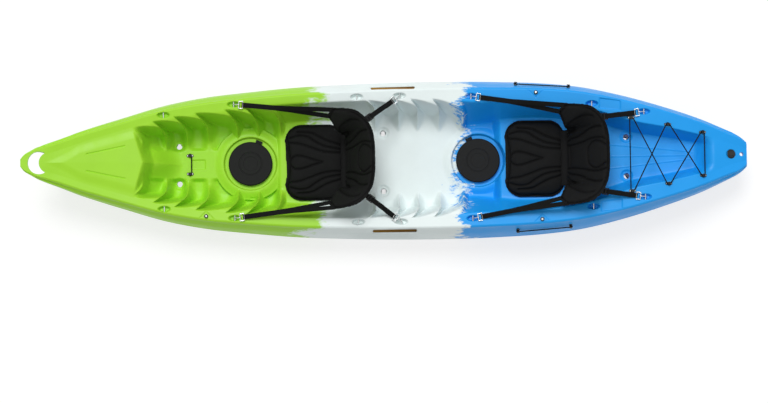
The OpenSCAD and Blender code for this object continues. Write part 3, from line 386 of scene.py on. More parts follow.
def stepped_wall(x, drop, ridges, run, slant, foot):
    """Share of the wall's height over the floor, as a row of slanting leaves with ridges between them.

    drop is the distance inboard of the ledge. Each leaf is a steep oval strip that starts at the ledge on
    one ridge and bends inboard towards the next; on the ridges the wall eases out to the floor instead. The
    ridges run aft by slant over the first part of the drop. Returns the share, how near a ridge is and where
    the run of ridges applies.
    """
    along = x - slant * (1 - (1 - clamp01(drop / run)) ** 2)
    phase, within = step_phase(along, ridges)
    part = phase - np.floor(phase)
    bulge = np.sin(math.pi * part) ** LEAF_FULL
    near = np.abs(np.cos(math.pi * phase)) ** RIDGE_SHARP
    steep = 1 - ease(LEAF_EDGE[0], LEAF_EDGE[1] + LEAF_DROP * bulge, drop - LEAF_SHIFT * part ** 2)
    gentle = 1 - ease(0, foot + RIDGE_REACH * near, drop)
    return mix(gentle, steep, LEAF_SHARE * bulge), near, within


# Deck: ledge and rim, walls, heel cups, bulkhead with the slope behind the bow hood, and the hood
RIM_INSET = 0.009
RIM_SINK = 0.001
LEAST_LEDGE = 0.008
CROWN_SINK = 0.002
WALL_ROUND = (0.012, 0.0016)
CUP_DEPTH = 0.022
CUP_Y = (0.068, 0.09)
BULKHEAD_X = 0.012
BULKHEAD_BOW = 0.05
BULKHEAD_HALF = 0.175
BULKHEAD_L = 0.06
SPINE_X = 0.03
SPINE_L = 0.2
SPINE_SHARE = (0.4, 0.2)
SPINE_HALF = 0.06
HOOD_X = -1.757
HOOD_L = 0.2
HOOD_W = 0.93
HOOD_POINT = 0.75
HOOD_RAISE = 0.006
HOOD_EDGE = 0.05
LOOP_BLEND = (0.05, 0.03)

# Deck details: hatch and eye recesses, scupper dishes, bow groove, tank ribs, knob outlines and drain
SINK_EDGE = 0.006
HATCH_SINK = 0.004
HATCH_LIP = 0.012
HATCH_APRON = 0.05
APRON_EDGE = 0.045
EYE_DEPTH = 0.022
DISH_R = 0.035
DISH_DEPTH = 0.007
DISH_EDGE = 0.014
GROOVE = ((-1.516, 0.043), (-1.325, 0.083), 0.005)
GROOVE_DEPTH = 0.004
GROOVE_EDGE = 0.005
RIB_SPREADS = (0.0, 0.062)
RIB_MEET = 1.75
RIB_RUN = 0.6
RIB_HALF = 0.004
RIB_H = 0.003
RIB_EDGE = 0.005
RIB_START = (1.06, 1.12)
RIB_STOP = (1.5, 1.6)
KNOB_OUT = 0.02
KNOB_HALF = 0.046
KNOB_DEEP = 0.045
KNOB_NEAR = 0.06
KNOB_DEPTH = 0.004
KNOB_EDGE = 0.003
DRAIN_DEPTH = 0.008
DRAIN_EDGE = 0.004

# Sunk panels on both sides: centre, half size, corner radius, slant, depth and width of the edge
PANELS = (
    ((-0.962, 0.0), (0.038, 0.027), 0.006, 0.0, 0.005, 0.005),
    ((-0.674, 0.178), (0.024, 0.006), 0.004, 0.0, 0.004, 0.003),
    ((1.148, 0.257), (0.056, 0.028), 0.006, -0.12, 0.005, 0.005))


def deck_details(x, y, z):
    """Deck heights with the sunk and raised details put in."""
    side = np.abs(y)
    for hx in HATCH_X:
        away = np.hypot(x - hx, y) - HATCH_RECESS_R
        lip = FOOT_Z + HATCH_LIP * inside(away - HATCH_APRON, APRON_EDGE)
        z = np.where(away < HATCH_APRON, np.maximum(z, lip), z)
        z = mix(z, FOOT_Z - HATCH_SINK, inside(away, SINK_EDGE))
    for ex in EYE_X:
        centre = float(eye_y(np.array(ex)))
        z = z - EYE_DEPTH * inside(oval(x, side, (ex, centre), EYE_HALF), SINK_EDGE)
    for sx, sy in SCUPPERS:
        z = z - DISH_DEPTH * inside(np.hypot(x - sx, side - sy) - DISH_R, DISH_EDGE)
    for (px, py), half, corner, slant, depth, edge in PANELS:
        z = z - depth * inside(block(x, side, (px, py + slant * (x - px)), half, corner), edge)
    z = z - GROOVE_DEPTH * inside(capsule(x, side, *GROOVE), GROOVE_EDGE)
    for spread in RIB_SPREADS:
        line = np.abs(side - spread * (RIB_MEET - x) / RIB_RUN) - RIB_HALF
        z = z + RIB_H * inside(line, RIB_EDGE) * ease(*RIB_START, x) * (1 - ease(*RIB_STOP, x))
    for kx, ky in KNOBS:
        away = np.abs(x - kx)
        apart = np.where(np.sign(y) == np.sign(ky), np.abs(ky) + KNOB_OUT - side, 1.0)
        edge = np.maximum(away - KNOB_HALF * clamp01(1 - apart / KNOB_DEEP), apart - KNOB_DEEP)
        z = z - KNOB_DEPTH * inside(np.abs(edge) - KNOB_EDGE, KNOB_EDGE) * (away < KNOB_NEAR)
    return z - DRAIN_DEPTH * inside(np.hypot(x - DRAIN_X, y) - DRAIN_RECESS_R, DRAIN_EDGE)


def deck_height(x, y):
    """Height of the deck over plan places: floor, stepped wall and ledge, then the details."""
    side = np.abs(y)
    zs, zl, yl, yf, zf = sheer(x), ledge_z(x), ledge_y(x), floor_y(x), floor_z(x)
    rim_y = np.maximum(gunwale_y(x) - RIM_INSET, yl + LEAST_LEDGE)
    drop = yl - side
    wall = (side - yf) / (yl - yf)
    foot, brow = WALL_ROUND
    rise = 0.5 * (np.sqrt(wall ** 2 + foot) - np.sqrt((wall - 1) ** 2 + brow) + 1)
    front_rise, ridge, within = stepped_wall(x, drop, *FRONT_STEPS)
    rise = mix(rise, front_rise, within)
    heel = CUP_DEPTH * within * (1 - ridge) * ease(*CUP_Y, side)
    rear_rise, _, within = stepped_wall(x, drop, *REAR_STEPS)
    fall = 1 - clamp01(mix(rise, rear_rise, within))
    ledge = mix(zl, zs - RIM_SINK, clamp01((side - yl) / (rim_y - yl)))
    well = np.minimum(np.where(drop < 0, ledge, zl) - (zl - zf) * fall - heel * fall, ledge)
    bulkhead = FOOT_X + BULKHEAD_X + BULKHEAD_BOW * clamp01(1 - side / BULKHEAD_HALF)
    slow = SPINE_SHARE[0] + SPINE_SHARE[1] * np.exp(-(side / SPINE_HALF) ** 2)
    share = mix(
        ease(bulkhead, bulkhead + BULKHEAD_L, x), ease(bulkhead + SPINE_X, bulkhead + SPINE_L, x), slow)
    share = share * (1 - ease(TANK_END - TANK_RISE, TANK_END, x))
    hood_y = HOOD_W * yl * clamp01((x - HOOD_X) / HOOD_L) ** HOOD_POINT
    hood = HOOD_RAISE * ease(0, HOOD_EDGE, hood_y - side) * (x < 0)
    closed = np.where(drop < 0, ledge, mix(zs - CROWN_SINK, zl, clamp01(side / yl)) + hood)
    closed = mix(zs - RIM_SINK, closed, ease(LOOP_END - LOOP_BLEND[0], LOOP_END + LOOP_BLEND[1], x))
    return deck_details(x, y, mix(closed, well, share))


def bow_slot(x, y):
    """Distance to the crescent of the bow loop's slot."""
    return np.maximum(np.hypot(x - SLOT_CENTRE, y) - SLOT_R, NOSE_R - np.hypot(x - NOSE_CENTRE, y))


def through_holes(x, y, z):
    """Distance to the nearest hole that goes right through."""
    d = np.minimum(bow_slot(x, y), np.hypot(x - STERN_HOLE[0], y) - STERN_HOLE_R)
    for sx, sy in SCUPPERS:
        d = np.minimum(d, np.hypot(x - sx, np.abs(y) - sy) - SCUPPER_R)
    wheel = np.maximum(block(x, y, (WHEEL_X, 0), WHEEL_SLOT[:2], WHEEL_CORNER), z - WHEEL_SLOT[2])
    return np.minimum(d, wheel)


# Hand holds: a scoop in each flank and a slot in it
SCOOP_X = (-0.25, 0.212)
SCOOP_Z = (0.158, 0.233)
SCOOP_ENDS = (0.16, 0.14)
SCOOP_LIP = 0.012
SCOOP_ROOF = 0.006
SCOOP_DEPTH = 0.034
SCOOP_HOLLOW = 1.3
SAG = 0.012
SAG_FROM = -0.1
SAG_RUN = 0.3
GRIP = (0.045, 0.3655)
GRIP_HALF = (0.1145, 0.0085)
GRIP_CORNER = 0.0084
GRIP_EDGE = 0.004
GRIP_FLOOR = 0.006
GRIP_TOP = 0.32


def flank_relief(x, y, z):
    """Moves the flanks in at the hand scoops and sinks the hand slots; returns the places and a painted-shade
    mask of the slots.
    """
    side = np.abs(y)
    (first, last), (low, high) = SCOOP_X, SCOOP_Z
    lean = ease(first, first + SCOOP_ENDS[0], x) * (1 - ease(last - SCOOP_ENDS[1], last, x))
    top = high - SAG * clamp01((x - SAG_FROM) / SAG_RUN)
    under = clamp01((z - low + SCOOP_LIP) / (top - low + SCOOP_LIP)) * (1 - ease(top, top + SCOOP_ROOF, z))
    depth = SCOOP_DEPTH * lean * under ** SCOOP_HOLLOW
    slot = inside(block(x, side, GRIP, GRIP_HALF, GRIP_CORNER), GRIP_EDGE)
    slot = slot * (z > high + GRIP_EDGE) * (z < GRIP_TOP)
    sunk = np.where(slot > 0, mix(z, high + GRIP_FLOOR, slot), z)
    return np.sign(y) * (side - depth), sunk, np.maximum(slot, 0)


STATIONS = 1120
BOW_STATIONS = (-1, -0.9995, -0.9985)
MAIN_STATIONS = (-0.997, 0.9985)
DECK_COLUMNS = 240
HULL_PARTS = 6

# Least length to divide by, and the step that finds the way to a hole's outline
TINY = 1e-12
PROBE = 1e-4


def hull_grid():
    """Rings of the whole skin: deck from port to starboard, down one flank to the keel and up the other."""
    main = np.linspace(*MAIN_STATIONS, STATIONS - len(BOW_STATIONS) - 1)
    x = np.concatenate([BOW_STATIONS, main, [1]]) * HULL_L / 2
    sy, sz = refine(*hull_section(x))
    t = np.linspace(-1, 1, DECK_COLUMNS + 1)
    deck_y = t[None, :] * sy[:, :1]
    deck_x = np.broadcast_to(x[:, None], deck_y.shape)
    deck_z = deck_height(deck_x, deck_y)
    deck_z[:, 0] = deck_z[:, -1] = sz[:, 0]
    ring_y = np.concatenate([deck_y, sy[:, 1:], -sy[:, -2:0:-1]], 1)
    ring_z = np.concatenate([deck_z, sz[:, 1:], sz[:, -2:0:-1]], 1)
    ring_x = np.repeat(x[:, None], ring_y.shape[1], 1)
    flank = np.arange(ring_y.shape[1]) > DECK_COLUMNS
    fy, fz, slot = flank_relief(ring_x, ring_y, ring_z)
    ring_y = np.where(flank, fy, ring_y)
    ring_z = np.where(flank, fz, ring_z)
    return np.stack([ring_x, ring_y, ring_z], 2), np.where(flank, slot, 0)


def grid_normals(v):
    """Unit normals of the rings from the differences along and round them."""
    along = np.gradient(v, axis=0)
    turned = np.roll(v, -1, 1) - np.roll(v, 1, 1)
    n = np.cross(turned, along)
    return n / np.maximum(np.linalg.norm(n, axis=2, keepdims=True), TINY)


def grid_quads(rows, columns):
    """Corner numbers of the faces between closed rings of equal count."""
    i = np.arange(rows - 1)[:, None] * columns
    j = np.arange(columns)[None, :]
    k = (j + 1) % columns
    return np.stack([i + j, i + k, i + columns + k, i + columns + j], 2).reshape(-1, 4)


def shade_faces(mesh, smooth=True):
    mesh.polygons.foreach_set("use_smooth", [smooth] * len(mesh.polygons))


def shade_attribute(obj, name, values):
    """New attribute with a value at every point; each one marks where painted shade goes."""
    shade_mask = obj.data.attributes.new(name, "FLOAT", "POINT")
    shade_mask.data.foreach_set("value", values.astype(np.float32))


def mesh_piece(name, verts, faces, material, body=None, normals=None):
    """New smooth-shaded piece from an array of places and a list of faces, riding on a body."""
    mesh = bpy.data.meshes.new(name)
    mesh.from_pydata(verts.tolist(), [], faces)
    shade_faces(mesh)
    if normals is not None:
        mesh.normals_split_custom_set_from_vertices(normals.tolist())
    mesh.materials.append(material)
    obj = bpy.data.objects.new(name, mesh)
    bpy.context.scene.collection.objects.link(obj)
    if body:
        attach(obj, body)
    return obj


def cut_holes(v, face_index):
    """Drops the faces inside the holes and draws the ones on their edge to the outline."""
    flat = v.reshape(-1, 3)
    d = through_holes(flat[:, 0], flat[:, 1], flat[:, 2])
    keep = (d[face_index] > 0).any(1)
    kept = face_index[keep]
    edge = np.zeros(len(flat), bool)
    edge[kept.ravel()] = True
    edge &= d < 0
    x, y, z = flat[edge].T
    gx = through_holes(x + PROBE, y, z) - through_holes(x - PROBE, y, z)
    gy = through_holes(x, y + PROBE, z) - through_holes(x, y - PROBE, z)
    g = np.stack([gx, gy], 1)
    g /= np.maximum(np.linalg.norm(g, axis=1, keepdims=True), TINY)
    flat[edge, :2] -= g * d[edge, None]
    return flat, kept


def build_hull(material):
    """The whole skin in a few lengths, with shared normals so that the lengths meet without a crease."""
    v, slot = hull_grid()
    normals = grid_normals(v).reshape(-1, 3)
    rows, columns = v.shape[:2]
    flat, faces = cut_holes(v, grid_quads(rows, columns))
    bounds = np.linspace(0, rows - 1, HULL_PARTS + 1).astype(int)
    owner = np.searchsorted(bounds, faces[:, 0] // columns, side="right") - 1
    for part in range(HULL_PARTS):
        own = faces[owner == part]
        used, local = np.unique(own, return_inverse=True)
        local = local.reshape(own.shape).tolist()
        for end, row, turn in ((0, 0, 1), (HULL_PARTS - 1, rows - 1, -1)):
            if part == end:
                rim = [int(np.searchsorted(used, row * columns + c)) for c in range(columns)]
                local.append(rim[::turn])
        obj = mesh_piece(
            f"hull_{part + 1}", flat[used], local, material, "boat", normals[used])
        # The slot attribute marks where painted shade goes inside the hand slots
        shade_attribute(obj, "slot", slot.reshape(-1)[used])
        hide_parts("hull")


# Materials
NOISE_ROUGHNESS = 0.6
TONE_SPAN = (0.3, 0.7)


def feed(tree, socket, value):
    """Links a socket to another one, or sets its plain value."""
    if isinstance(value, bpy.types.NodeSocket):
        tree.links.new(value, socket)
    else:
        socket.default_value = value


def add_node(tree, kind, inputs=(), **settings):
    """New shader node with its settings and its inputs by name or number; returns its outputs."""
    node = tree.nodes.new("ShaderNode" + kind)
    for name, value in settings.items():
        setattr(node, name, value)
    for label, value in dict(inputs).items():
        feed(tree, node.inputs[label], value)
    return node.outputs


def calc(tree, kind, *values):
    """Math node on sockets or plain numbers; returns its result."""
    return add_node(tree, "Math", enumerate(values), operation=kind)[0]


def weighted(tree, a, share_a, b, share_b):
    """Sum of two values by their shares."""
    return calc(tree, "ADD", calc(tree, "MULTIPLY", a, share_a), calc(tree, "MULTIPLY", b, share_b))


def object_place(tree):
    return add_node(tree, "TexCoord")["Object"]


def axes_of(tree, place):
    return add_node(tree, "SeparateXYZ", {0: place})


def noise(tree, place, scale, detail=2.0, stretch=None):
    """Cloudy value round 0.5 at a scale in cells per metre, or drawn out by a stretch of the place."""
    if stretch:
        place = add_node(tree, "Mapping", {0: place, "Scale": stretch})[0]
    inputs = {"Vector": place, "Scale": scale, "Detail": detail, "Roughness": NOISE_ROUGHNESS}
    return add_node(tree, "TexNoise", inputs)[0]


def span(tree, value, low, high, soft=False):
    """0 below low and 1 above high."""
    kind = "SMOOTHSTEP" if soft else "LINEAR"
    return add_node(tree, "MapRange", {0: value, 1: low, 2: high}, interpolation_type=kind)[0]


def between(tree, factor, a, b):
    """Colour between two colours or colour sockets."""
    return add_node(tree, "Mix", {0: factor, 6: a, 7: b}, data_type="RGBA")[2]


def effect(name, inputs):
    """New node group that puts out a height and a tone, both from 0 to 1; returns it with its inputs."""
    tree = bpy.data.node_groups.new(name, "ShaderNodeTree")
    for label, value in inputs:
        socket = tree.interface.new_socket(label, in_out="INPUT", socket_type="NodeSocketFloat")
        socket.default_value = value
    for label in ("Height", "Tone"):
        tree.interface.new_socket(label, in_out="OUTPUT", socket_type="NodeSocketFloat")
    return tree, tree.nodes.new("NodeGroupInput").outputs


def close_effect(tree, height, tone):
    out = tree.nodes.new("NodeGroupOutput")
    feed(tree, out.inputs["Height"], height)
    feed(tree, out.inputs["Tone"], tone)
    return tree


def moulded_grain():
    """Skin of a moulding: fine pebbles over a slow waviness, with a cloudy tone."""
    tree, given = effect("moulded_grain", (("Grain", 900.0), ("Cloud", 14.0)))
    place = object_place(tree)
    fine = noise(tree, place, given["Grain"])
    slow = noise(tree, place, calc(tree, "MULTIPLY", given["Cloud"], 5.0))
    return close_effect(tree, weighted(tree, fine, 0.6, slow, 0.4), noise(tree, place, given["Cloud"], 4.0))


def cover_weave():
    """Plain weave of a stretch cover on any face: threads along three axes, over a cloudy tone."""
    tree, given = effect("cover_weave", (("Threads", 700.0), ("Cloud", 22.0)))
    place = object_place(tree)
    turn = calc(tree, "MULTIPLY", given["Threads"], math.tau)
    wave = [calc(tree, "SINE", calc(tree, "MULTIPLY", axis, turn)) for axis in axes_of(tree, place)]
    xy, yz, zx = (calc(tree, "MULTIPLY", wave[a], wave[b]) for a, b in ((0, 1), (1, 2), (2, 0)))
    cross = calc(tree, "ADD", calc(tree, "ADD", xy, yz), zx)
    height = calc(tree, "MULTIPLY_ADD", cross, 0.25, 0.5)
    return close_effect(tree, height, noise(tree, place, given["Cloud"], 5.0))


def along_weave():
    """Slanted threads that meet in a point on the middle line, on a UV map in metres along and across."""
    tree, given = effect("along_weave", (("Ribs", 420.0), ("Middle", 0.0125), ("Slant", 1.0)))
    along, across, _ = axes_of(tree, add_node(tree, "UVMap", uv_map="along")[0])
    off = calc(tree, "ABSOLUTE", calc(tree, "SUBTRACT", across, given["Middle"]))
    run = calc(tree, "ADD", along, calc(tree, "MULTIPLY", off, given["Slant"]))
    rib = calc(tree, "FRACT", calc(tree, "MULTIPLY", run, given["Ribs"]))
    height = calc(tree, "SUBTRACT", 1.0, calc(tree, "ABSOLUTE", calc(tree, "MULTIPLY_ADD", rib, 2.0, -1.0)))
    return close_effect(tree, height, noise(tree, object_place(tree), 60.0, 4.0))


def brushed():
    """Fine streaks of a drawn metal with a slow change of tone."""
    tree, given = effect("brushed", (("Streaks", 1400.0), ("Cloud", 40.0)))
    place = object_place(tree)
    fine = noise(tree, place, given["Streaks"], 2.0, (0.12, 1.0, 1.0))
    return close_effect(tree, fine, noise(tree, place, given["Cloud"], 3.0))


def new_material(name, colour, roughness, metal, mirror):
    """Principled material and its shader's inputs; mirror is the strength of its mirror light."""
    material = bpy.data.materials.new(name)
    material.use_nodes = True
    shader = material.node_tree.nodes["Principled BSDF"].inputs
    labels = ("Base Color", "Roughness", "Metallic", "Specular IOR Level")
    for label, value in zip(labels, (colour, roughness, metal, mirror)):
        shader[label].default_value = value
    return material, shader


def textured(material, shader, group, values, colours, rough, relief):
    """Lets an effect change the colour between two, the roughness between two, and the relief in metres."""
    tree = material.node_tree
    out = add_node(tree, "Group", values, node_tree=group)
    height, tone = out["Height"], out["Tone"]
    if colours:
        mixed = span(tree, weighted(tree, tone, 0.6, height, 0.4), *TONE_SPAN)
        feed(tree, shader["Base Color"], between(tree, mixed, *colours))
    low, high = rough
    feed(tree, shader["Roughness"], calc(tree, "MULTIPLY_ADD", span(tree, tone, *TONE_SPAN), high - low, low))
    feed(tree, shader["Normal"], add_node(tree, "Bump", {"Distance": relief, "Height": height})[0])
    return tone


# Hull colours from the bow aft, and where along the boat each border's fade runs
GREEN = (0.345, 0.70, 0.028, 1.0)
WHITE = (0.80, 0.885, 0.875, 1.0)
BLUE = (0.008, 0.335, 0.86, 1.0)
# Painted shade: dark warm brown inside the hand slots
SLOT_PAINTED_SHADE = (0.30, 0.16, 0.02, 1.0)
TO_WHITE = (-0.39, -0.30)
TO_BLUE = (0.37, 0.42)
FLANK_Y = (0.33, 0.40)
FLANK_SHIFT = 0.09
# Span of the slot mask over which the painted shade comes in
SLOT_SHADE_SPAN = (0.3, 0.85)
CLOUD_SHARE = (0.10, 0.95)

# Ragged borders: how far each noise moves them, its cells per metre, detail and stretch
RAGS = ((0.5, 7.0, 6.0, (0.7, 1.3, 1.3)), (0.2, 70.0, 6.0, (0.45, 1.0, 1.0)))


def hull_material(grain):
    """Satin plastic in three colours along the boat, with ragged feathered borders and painted shade in the
    hand slots.
    """
    material, shader = new_material("hull_plastic", WHITE, 0.42, 0.0, 0.3)
    tree = material.node_tree
    tone = textured(
        material, shader, grain, {"Grain": 1100.0, "Cloud": 9.0}, None, (0.36, 0.5), 0.00012)
    place = object_place(tree)
    x, y, _ = axes_of(tree, place)
    rags = [
        calc(tree, "MULTIPLY", calc(tree, "SUBTRACT", noise(tree, place, *cloud), 0.5), reach)
        for reach, *cloud in RAGS]
    sway = calc(tree, "ADD", *rags)
    flank = span(tree, calc(tree, "ABSOLUTE", y), *FLANK_Y, True)
    front = calc(tree, "ADD", calc(tree, "MULTIPLY_ADD", flank, FLANK_SHIFT, x), sway)
    colour = between(tree, span(tree, front, *TO_WHITE, True), GREEN, WHITE)
    colour = between(tree, span(tree, calc(tree, "ADD", x, sway), *TO_BLUE, True), colour, BLUE)
    # Painted shade: the inside of the hand slots is coloured dark brown by the slot attribute
    shade_mask = add_node(tree, "Attribute", attribute_name="slot")["Fac"]
    colour = between(tree, span(tree, shade_mask, *SLOT_SHADE_SPAN), colour, SLOT_PAINTED_SHADE)
    value = calc(tree, "MULTIPLY_ADD", tone, *CLOUD_SHARE)
    feed(tree, shader["Base Color"], add_node(tree, "HueSaturation", {"Value": value, "Color": colour})[0])
    return material


def bottom_height(x, y):
    """Height of the hull's underside over plan places."""
    ky, kz = hull_section(x)
    return np.array([np.interp(abs(y[k]), ky[k, ::-1], kz[k, ::-1]) for k in range(len(x))])


def strip(name, outline, top, material):
    """Wall of a hole: a band round a closed plan outline from the top heights down to the underside."""
    n = len(outline)
    low = bottom_height(outline[:, 0], outline[:, 1])
    verts = np.concatenate([np.column_stack([outline, top]), np.column_stack([outline, low])])
    faces = [(k, k + n, (k + 1) % n + n, (k + 1) % n) for k in range(n)]
    mesh_piece(name, verts, faces, material, "boat")


def arc(x, y, r, angles):
    return np.column_stack([x + r * np.cos(angles), y + r * np.sin(angles)])


def build_hole_walls(material):
    """Tubes of the scuppers and the stern hole, and the wall of the bow slot and the wheel slot."""
    round_turn = np.linspace(0, 2 * math.pi, 40, endpoint=False)
    outlines = [("stern_hole_wall", arc(*STERN_HOLE, STERN_HOLE_R, round_turn))]
    for k, (sx, sy) in enumerate(SCUPPERS):
        for side, word in SIDES:
            outlines.append((f"{word}_scupper_wall_{k + 1}", arc(sx, side * sy, SCUPPER_R, round_turn)))
    off = NOSE_CENTRE - SLOT_CENTRE
    reach = math.acos((SLOT_R ** 2 + off ** 2 - NOSE_R ** 2) / (2 * SLOT_R * off))
    turn = math.atan2(SLOT_R * math.sin(reach), SLOT_R * math.cos(reach) - off)
    outer = arc(SLOT_CENTRE, 0, SLOT_R, np.linspace(reach, 2 * math.pi - reach, 60))
    inner = arc(NOSE_CENTRE, 0, NOSE_R, np.linspace(2 * math.pi - turn, turn, 50)[1:-1])
    outlines.append(("bow_slot_wall", np.concatenate([outer, inner])))
    for name, outline in outlines:
        strip(name, outline, deck_height(outline[:, 0], outline[:, 1]), material)
    slot_x, slot_y, slot_top = WHEEL_SLOT
    corners = np.array([(-1, -1), (1, -1), (1, 1), (-1, 1)]) * (slot_x, slot_y) + (WHEEL_X, 0)
    sides = zip(corners, np.roll(corners, -1, 0))
    outline = np.concatenate([np.linspace(a, b, 12, endpoint=False) for a, b in sides])
    strip("wheel_slot_wall", outline, np.full(len(outline), slot_top), material)
    roof = np.column_stack([corners, np.full(4, slot_top)])
    mesh_piece("wheel_slot_roof", roof, [(0, 3, 2, 1)], material, "boat")


SKY = 0.45
KEY = 1.92
KEY_FROM = (-0.08, 0.44, 0.89)
KEY_SPREAD = math.radians(26)
FLOOR_SIZE = 40
FLOOR_Z = -0.0005
FLOOR_TONE = 0.8
FLOOR_GLOW = 0.74
FLOOR_SHADE = 0.3


def seen_share(tree):
    """1 on the rays that show the backdrop itself: straight, in a mirror or through glass."""
    rays = add_node(tree, "LightPath")
    seen = rays["Is Camera Ray"]
    for name in ("Is Glossy Ray", "Is Transmission Ray"):
        seen = calc(tree, "MAXIMUM", seen, rays[name])
    return seen


def build_stage():
    """White floor that keeps a soft shadow, an even sky and a wide key light high over the starboard side."""
    scene = bpy.context.scene
    scene.view_settings.view_transform = "Standard"
    bpy.ops.mesh.primitive_plane_add(size=FLOOR_SIZE, location=(0, 0, FLOOR_Z))
    floor = bpy.context.object
    floor.name = "floor"
    material = bpy.data.materials.new("pale_floor")
    material.use_nodes = True
    tree = material.node_tree
    tree.nodes.clear()
    plain, shaded = (
        add_node(tree, "BsdfDiffuse", {"Color": (v, v, v, 1)})[0] for v in (FLOOR_TONE, FLOOR_SHADE))
    glow = add_node(tree, "Emission", {"Strength": FLOOR_GLOW})[0]
    both = add_node(tree, "AddShader", {0: shaded, 1: glow})[0]
    choice = add_node(tree, "MixShader", {0: seen_share(tree), 1: plain, 2: both})[0]
    add_node(tree, "OutputMaterial", {0: choice})
    floor.data.materials.append(material)
    world = bpy.data.worlds.new("studio")
    scene.world = world
    world.use_nodes = True
    tree = world.node_tree
    sky = tree.nodes["Background"].inputs
    feed(tree, sky[0], (1, 1, 1, 1))
    feed(tree, sky[1], calc(tree, "ADD", calc(tree, "MULTIPLY", seen_share(tree), 1 - SKY), SKY))
    light = bpy.data.lights.new("key_light", "SUN")
    light.energy = KEY
    light.angle = KEY_SPREAD
    lamp = bpy.data.objects.new("key_light", light)
    lamp.rotation_euler = Vector(KEY_FROM).to_track_quat("Z", "Y").to_euler()
    scene.collection.objects.link(lamp)


# The photograph looks down on the boat from a little to port; its scale is taken at deck height
PHOTO_SIZE = (768, 403)
PHOTO_SCALE = 0.005108
PHOTO_CENTRE = (385.6, 159.5)
PHOTO_ROLL = math.radians(-0.87)
PHOTO_DECK = 0.25
CAMERA_HEIGHT = 18.0
CAMERA_SIDE = -1.4
CAMERA_FAR = 100


def build_camera():
    """Camera above the boat, its axis through the photograph's middle."""
    camera = bpy.data.cameras.new("camera")
    obj = bpy.data.objects.new("camera", camera)
    bpy.context.scene.collection.objects.link(obj)
    bpy.context.scene.camera = obj
    eye = Vector((0, CAMERA_SIDE, CAMERA_HEIGHT))
    off_x = (PHOTO_SIZE[0] / 2 - PHOTO_CENTRE[0]) * PHOTO_SCALE
    off_y = (PHOTO_CENTRE[1] - PHOTO_SIZE[1] / 2) * PHOTO_SCALE
    aim = Vector((off_x, off_y, PHOTO_DECK))
    back = (eye - aim).normalized()
    right = Vector((math.cos(PHOTO_ROLL), math.sin(PHOTO_ROLL), 0))
    right = (right - back * right.dot(back)).normalized()
    up = back.cross(right)
    obj.matrix_world = Matrix((
        (right.x, up.x, back.x, eye.x), (right.y, up.y, back.y, eye.y),
        (right.z, up.z, back.z, eye.z), (0, 0, 0, 1)))
    camera.sensor_fit = "HORIZONTAL"
    camera.lens = camera.sensor_width * (eye - aim).length / (PHOTO_SIZE[0] * PHOTO_SCALE)
    camera.clip_end = CAMERA_FAR


# Seats
def seat_corner(d, r):
    """How far a round corner of radius r draws the outline in, at a distance d from the end."""
    e = np.minimum(d, r)
    return r - np.sqrt(np.maximum(r * r - (r - e) ** 2, 0))


def base_half(u):
    return BASE_W / 2 - seat_corner(BASE_L * u, FRONT_CORNER) - seat_corner(BASE_L * (1 - u), FOLD_CORNER)


# Pads before they are puffed up: how much smaller they are, and the shares of thickness before and behind
PAD_IN = 0.003
END_IN = 0.002
BASE_LOW = 0.004
BASE_LIFT = 0.006
EDGE_SHARE = 0.4
FACE_SHARE = 0.72
REAR_SHARE = 0.25
REAR_IN = 0.002


def seat_base_form(seat):
    """Seat base as rings from the front edge to the fold: a domed top over a flat underside."""
    u = 0.5 - 0.5 * np.cos(np.linspace(0, math.pi, 49))
    v = np.sin(np.linspace(-1, 1, 41) * math.pi / 2)
    low = np.linspace(0.97, -0.97, 25)
    half = (base_half(u) - PAD_IN)[:, None]
    dome = (1 - np.abs(v[None, :]) ** 5) * (1 - np.abs(2 * u[:, None] - 1) ** 6)
    top = BASE_LIFT + BASE_EDGE * EDGE_SHARE + dome * (BASE_T - BASE_EDGE - PAD_IN)
    notch = (FRONT_NOTCH * (1 - u) ** 4)[:, None]
    x0 = SEAT_X[seat] - WELT - BASE_L + END_IN
    across = np.concatenate([v, low])
    x = x0 + (BASE_L - 2 * END_IN) * u[:, None] + notch * (1 - across[None, :] ** 2)
    y = half * across[None, :]
    z = PAN_Z[seat] + np.concatenate([top, np.full((len(u), len(low)), BASE_LOW)], 1)
    return np.stack([x, y, z], 2)


def back_plan(s):
    """Plan curve of the backrest at s from -1 to 1: half width and forward reach."""
    a = np.abs(s) * math.pi / 2
    return np.sign(s) * BACK_W * np.sin(a) ** PLAN_WIDTH, WING_L * (1 - np.cos(a)) ** PLAN_REACH


def back_facing(s):
    """Direction square to the plan curve, towards the sitter, as half width and forward parts."""
    y0, f0 = back_plan(s - PLAN_STEP)
    y1, f1 = back_plan(s + PLAN_STEP)
    length = np.hypot(y1 - y0, f1 - f0)
    end = np.abs(s) > PLAN_END
    return np.where(end, -np.sign(s), -(f1 - f0) / length), np.where(end, 0, (y1 - y0) / length)


def back_edges(s):
    """Heights of the backrest's lower and upper edge along its own slope."""
    a = np.abs(s)
    low = WELT + WING_LOW * ease(WING_FROM, 1, a)
    top = (
        BACK_H - SHOULDER_DROP * np.minimum(1, a / SHOULDER) ** 2
        - (BACK_H - SHOULDER_DROP - WING_HIGH) * ease(SHOULDER - SHOULDER_EASE, 1, a))
    return low, top


def back_flare(s):
    """How far the wings lean out, sideways per unit of height."""
    return WING_FLARE * ease(FLARE_FROM, 1, np.abs(s))


def back_place(seat, s, h, out):
    """Point of the backrest at s across, h from the lower edge to the upper, out towards the sitter."""
    ny, nf = back_facing(s)
    y, f = back_plan(s)
    low, top = back_edges(s)
    c = mix(low, top, h)
    y = y + ny * out - np.sign(s) * back_flare(s) * (top - c)
    f = f + nf * out
    lean = BACK_LEAN[seat]
    return np.stack([
        SEAT_X[seat] + c * math.sin(lean) - f * math.cos(lean), y,
        PAN_Z[seat] + GAP + BASE_EDGE + c * math.cos(lean) + f * math.sin(lean)], -1)


def back_thickness(s, h):
    pad = (1 - np.abs(2 * h - 1) ** 4) * (1 - WING_THIN * np.abs(s) ** 4)
    return BACK_EDGE + (BACK_T - BACK_EDGE) * pad


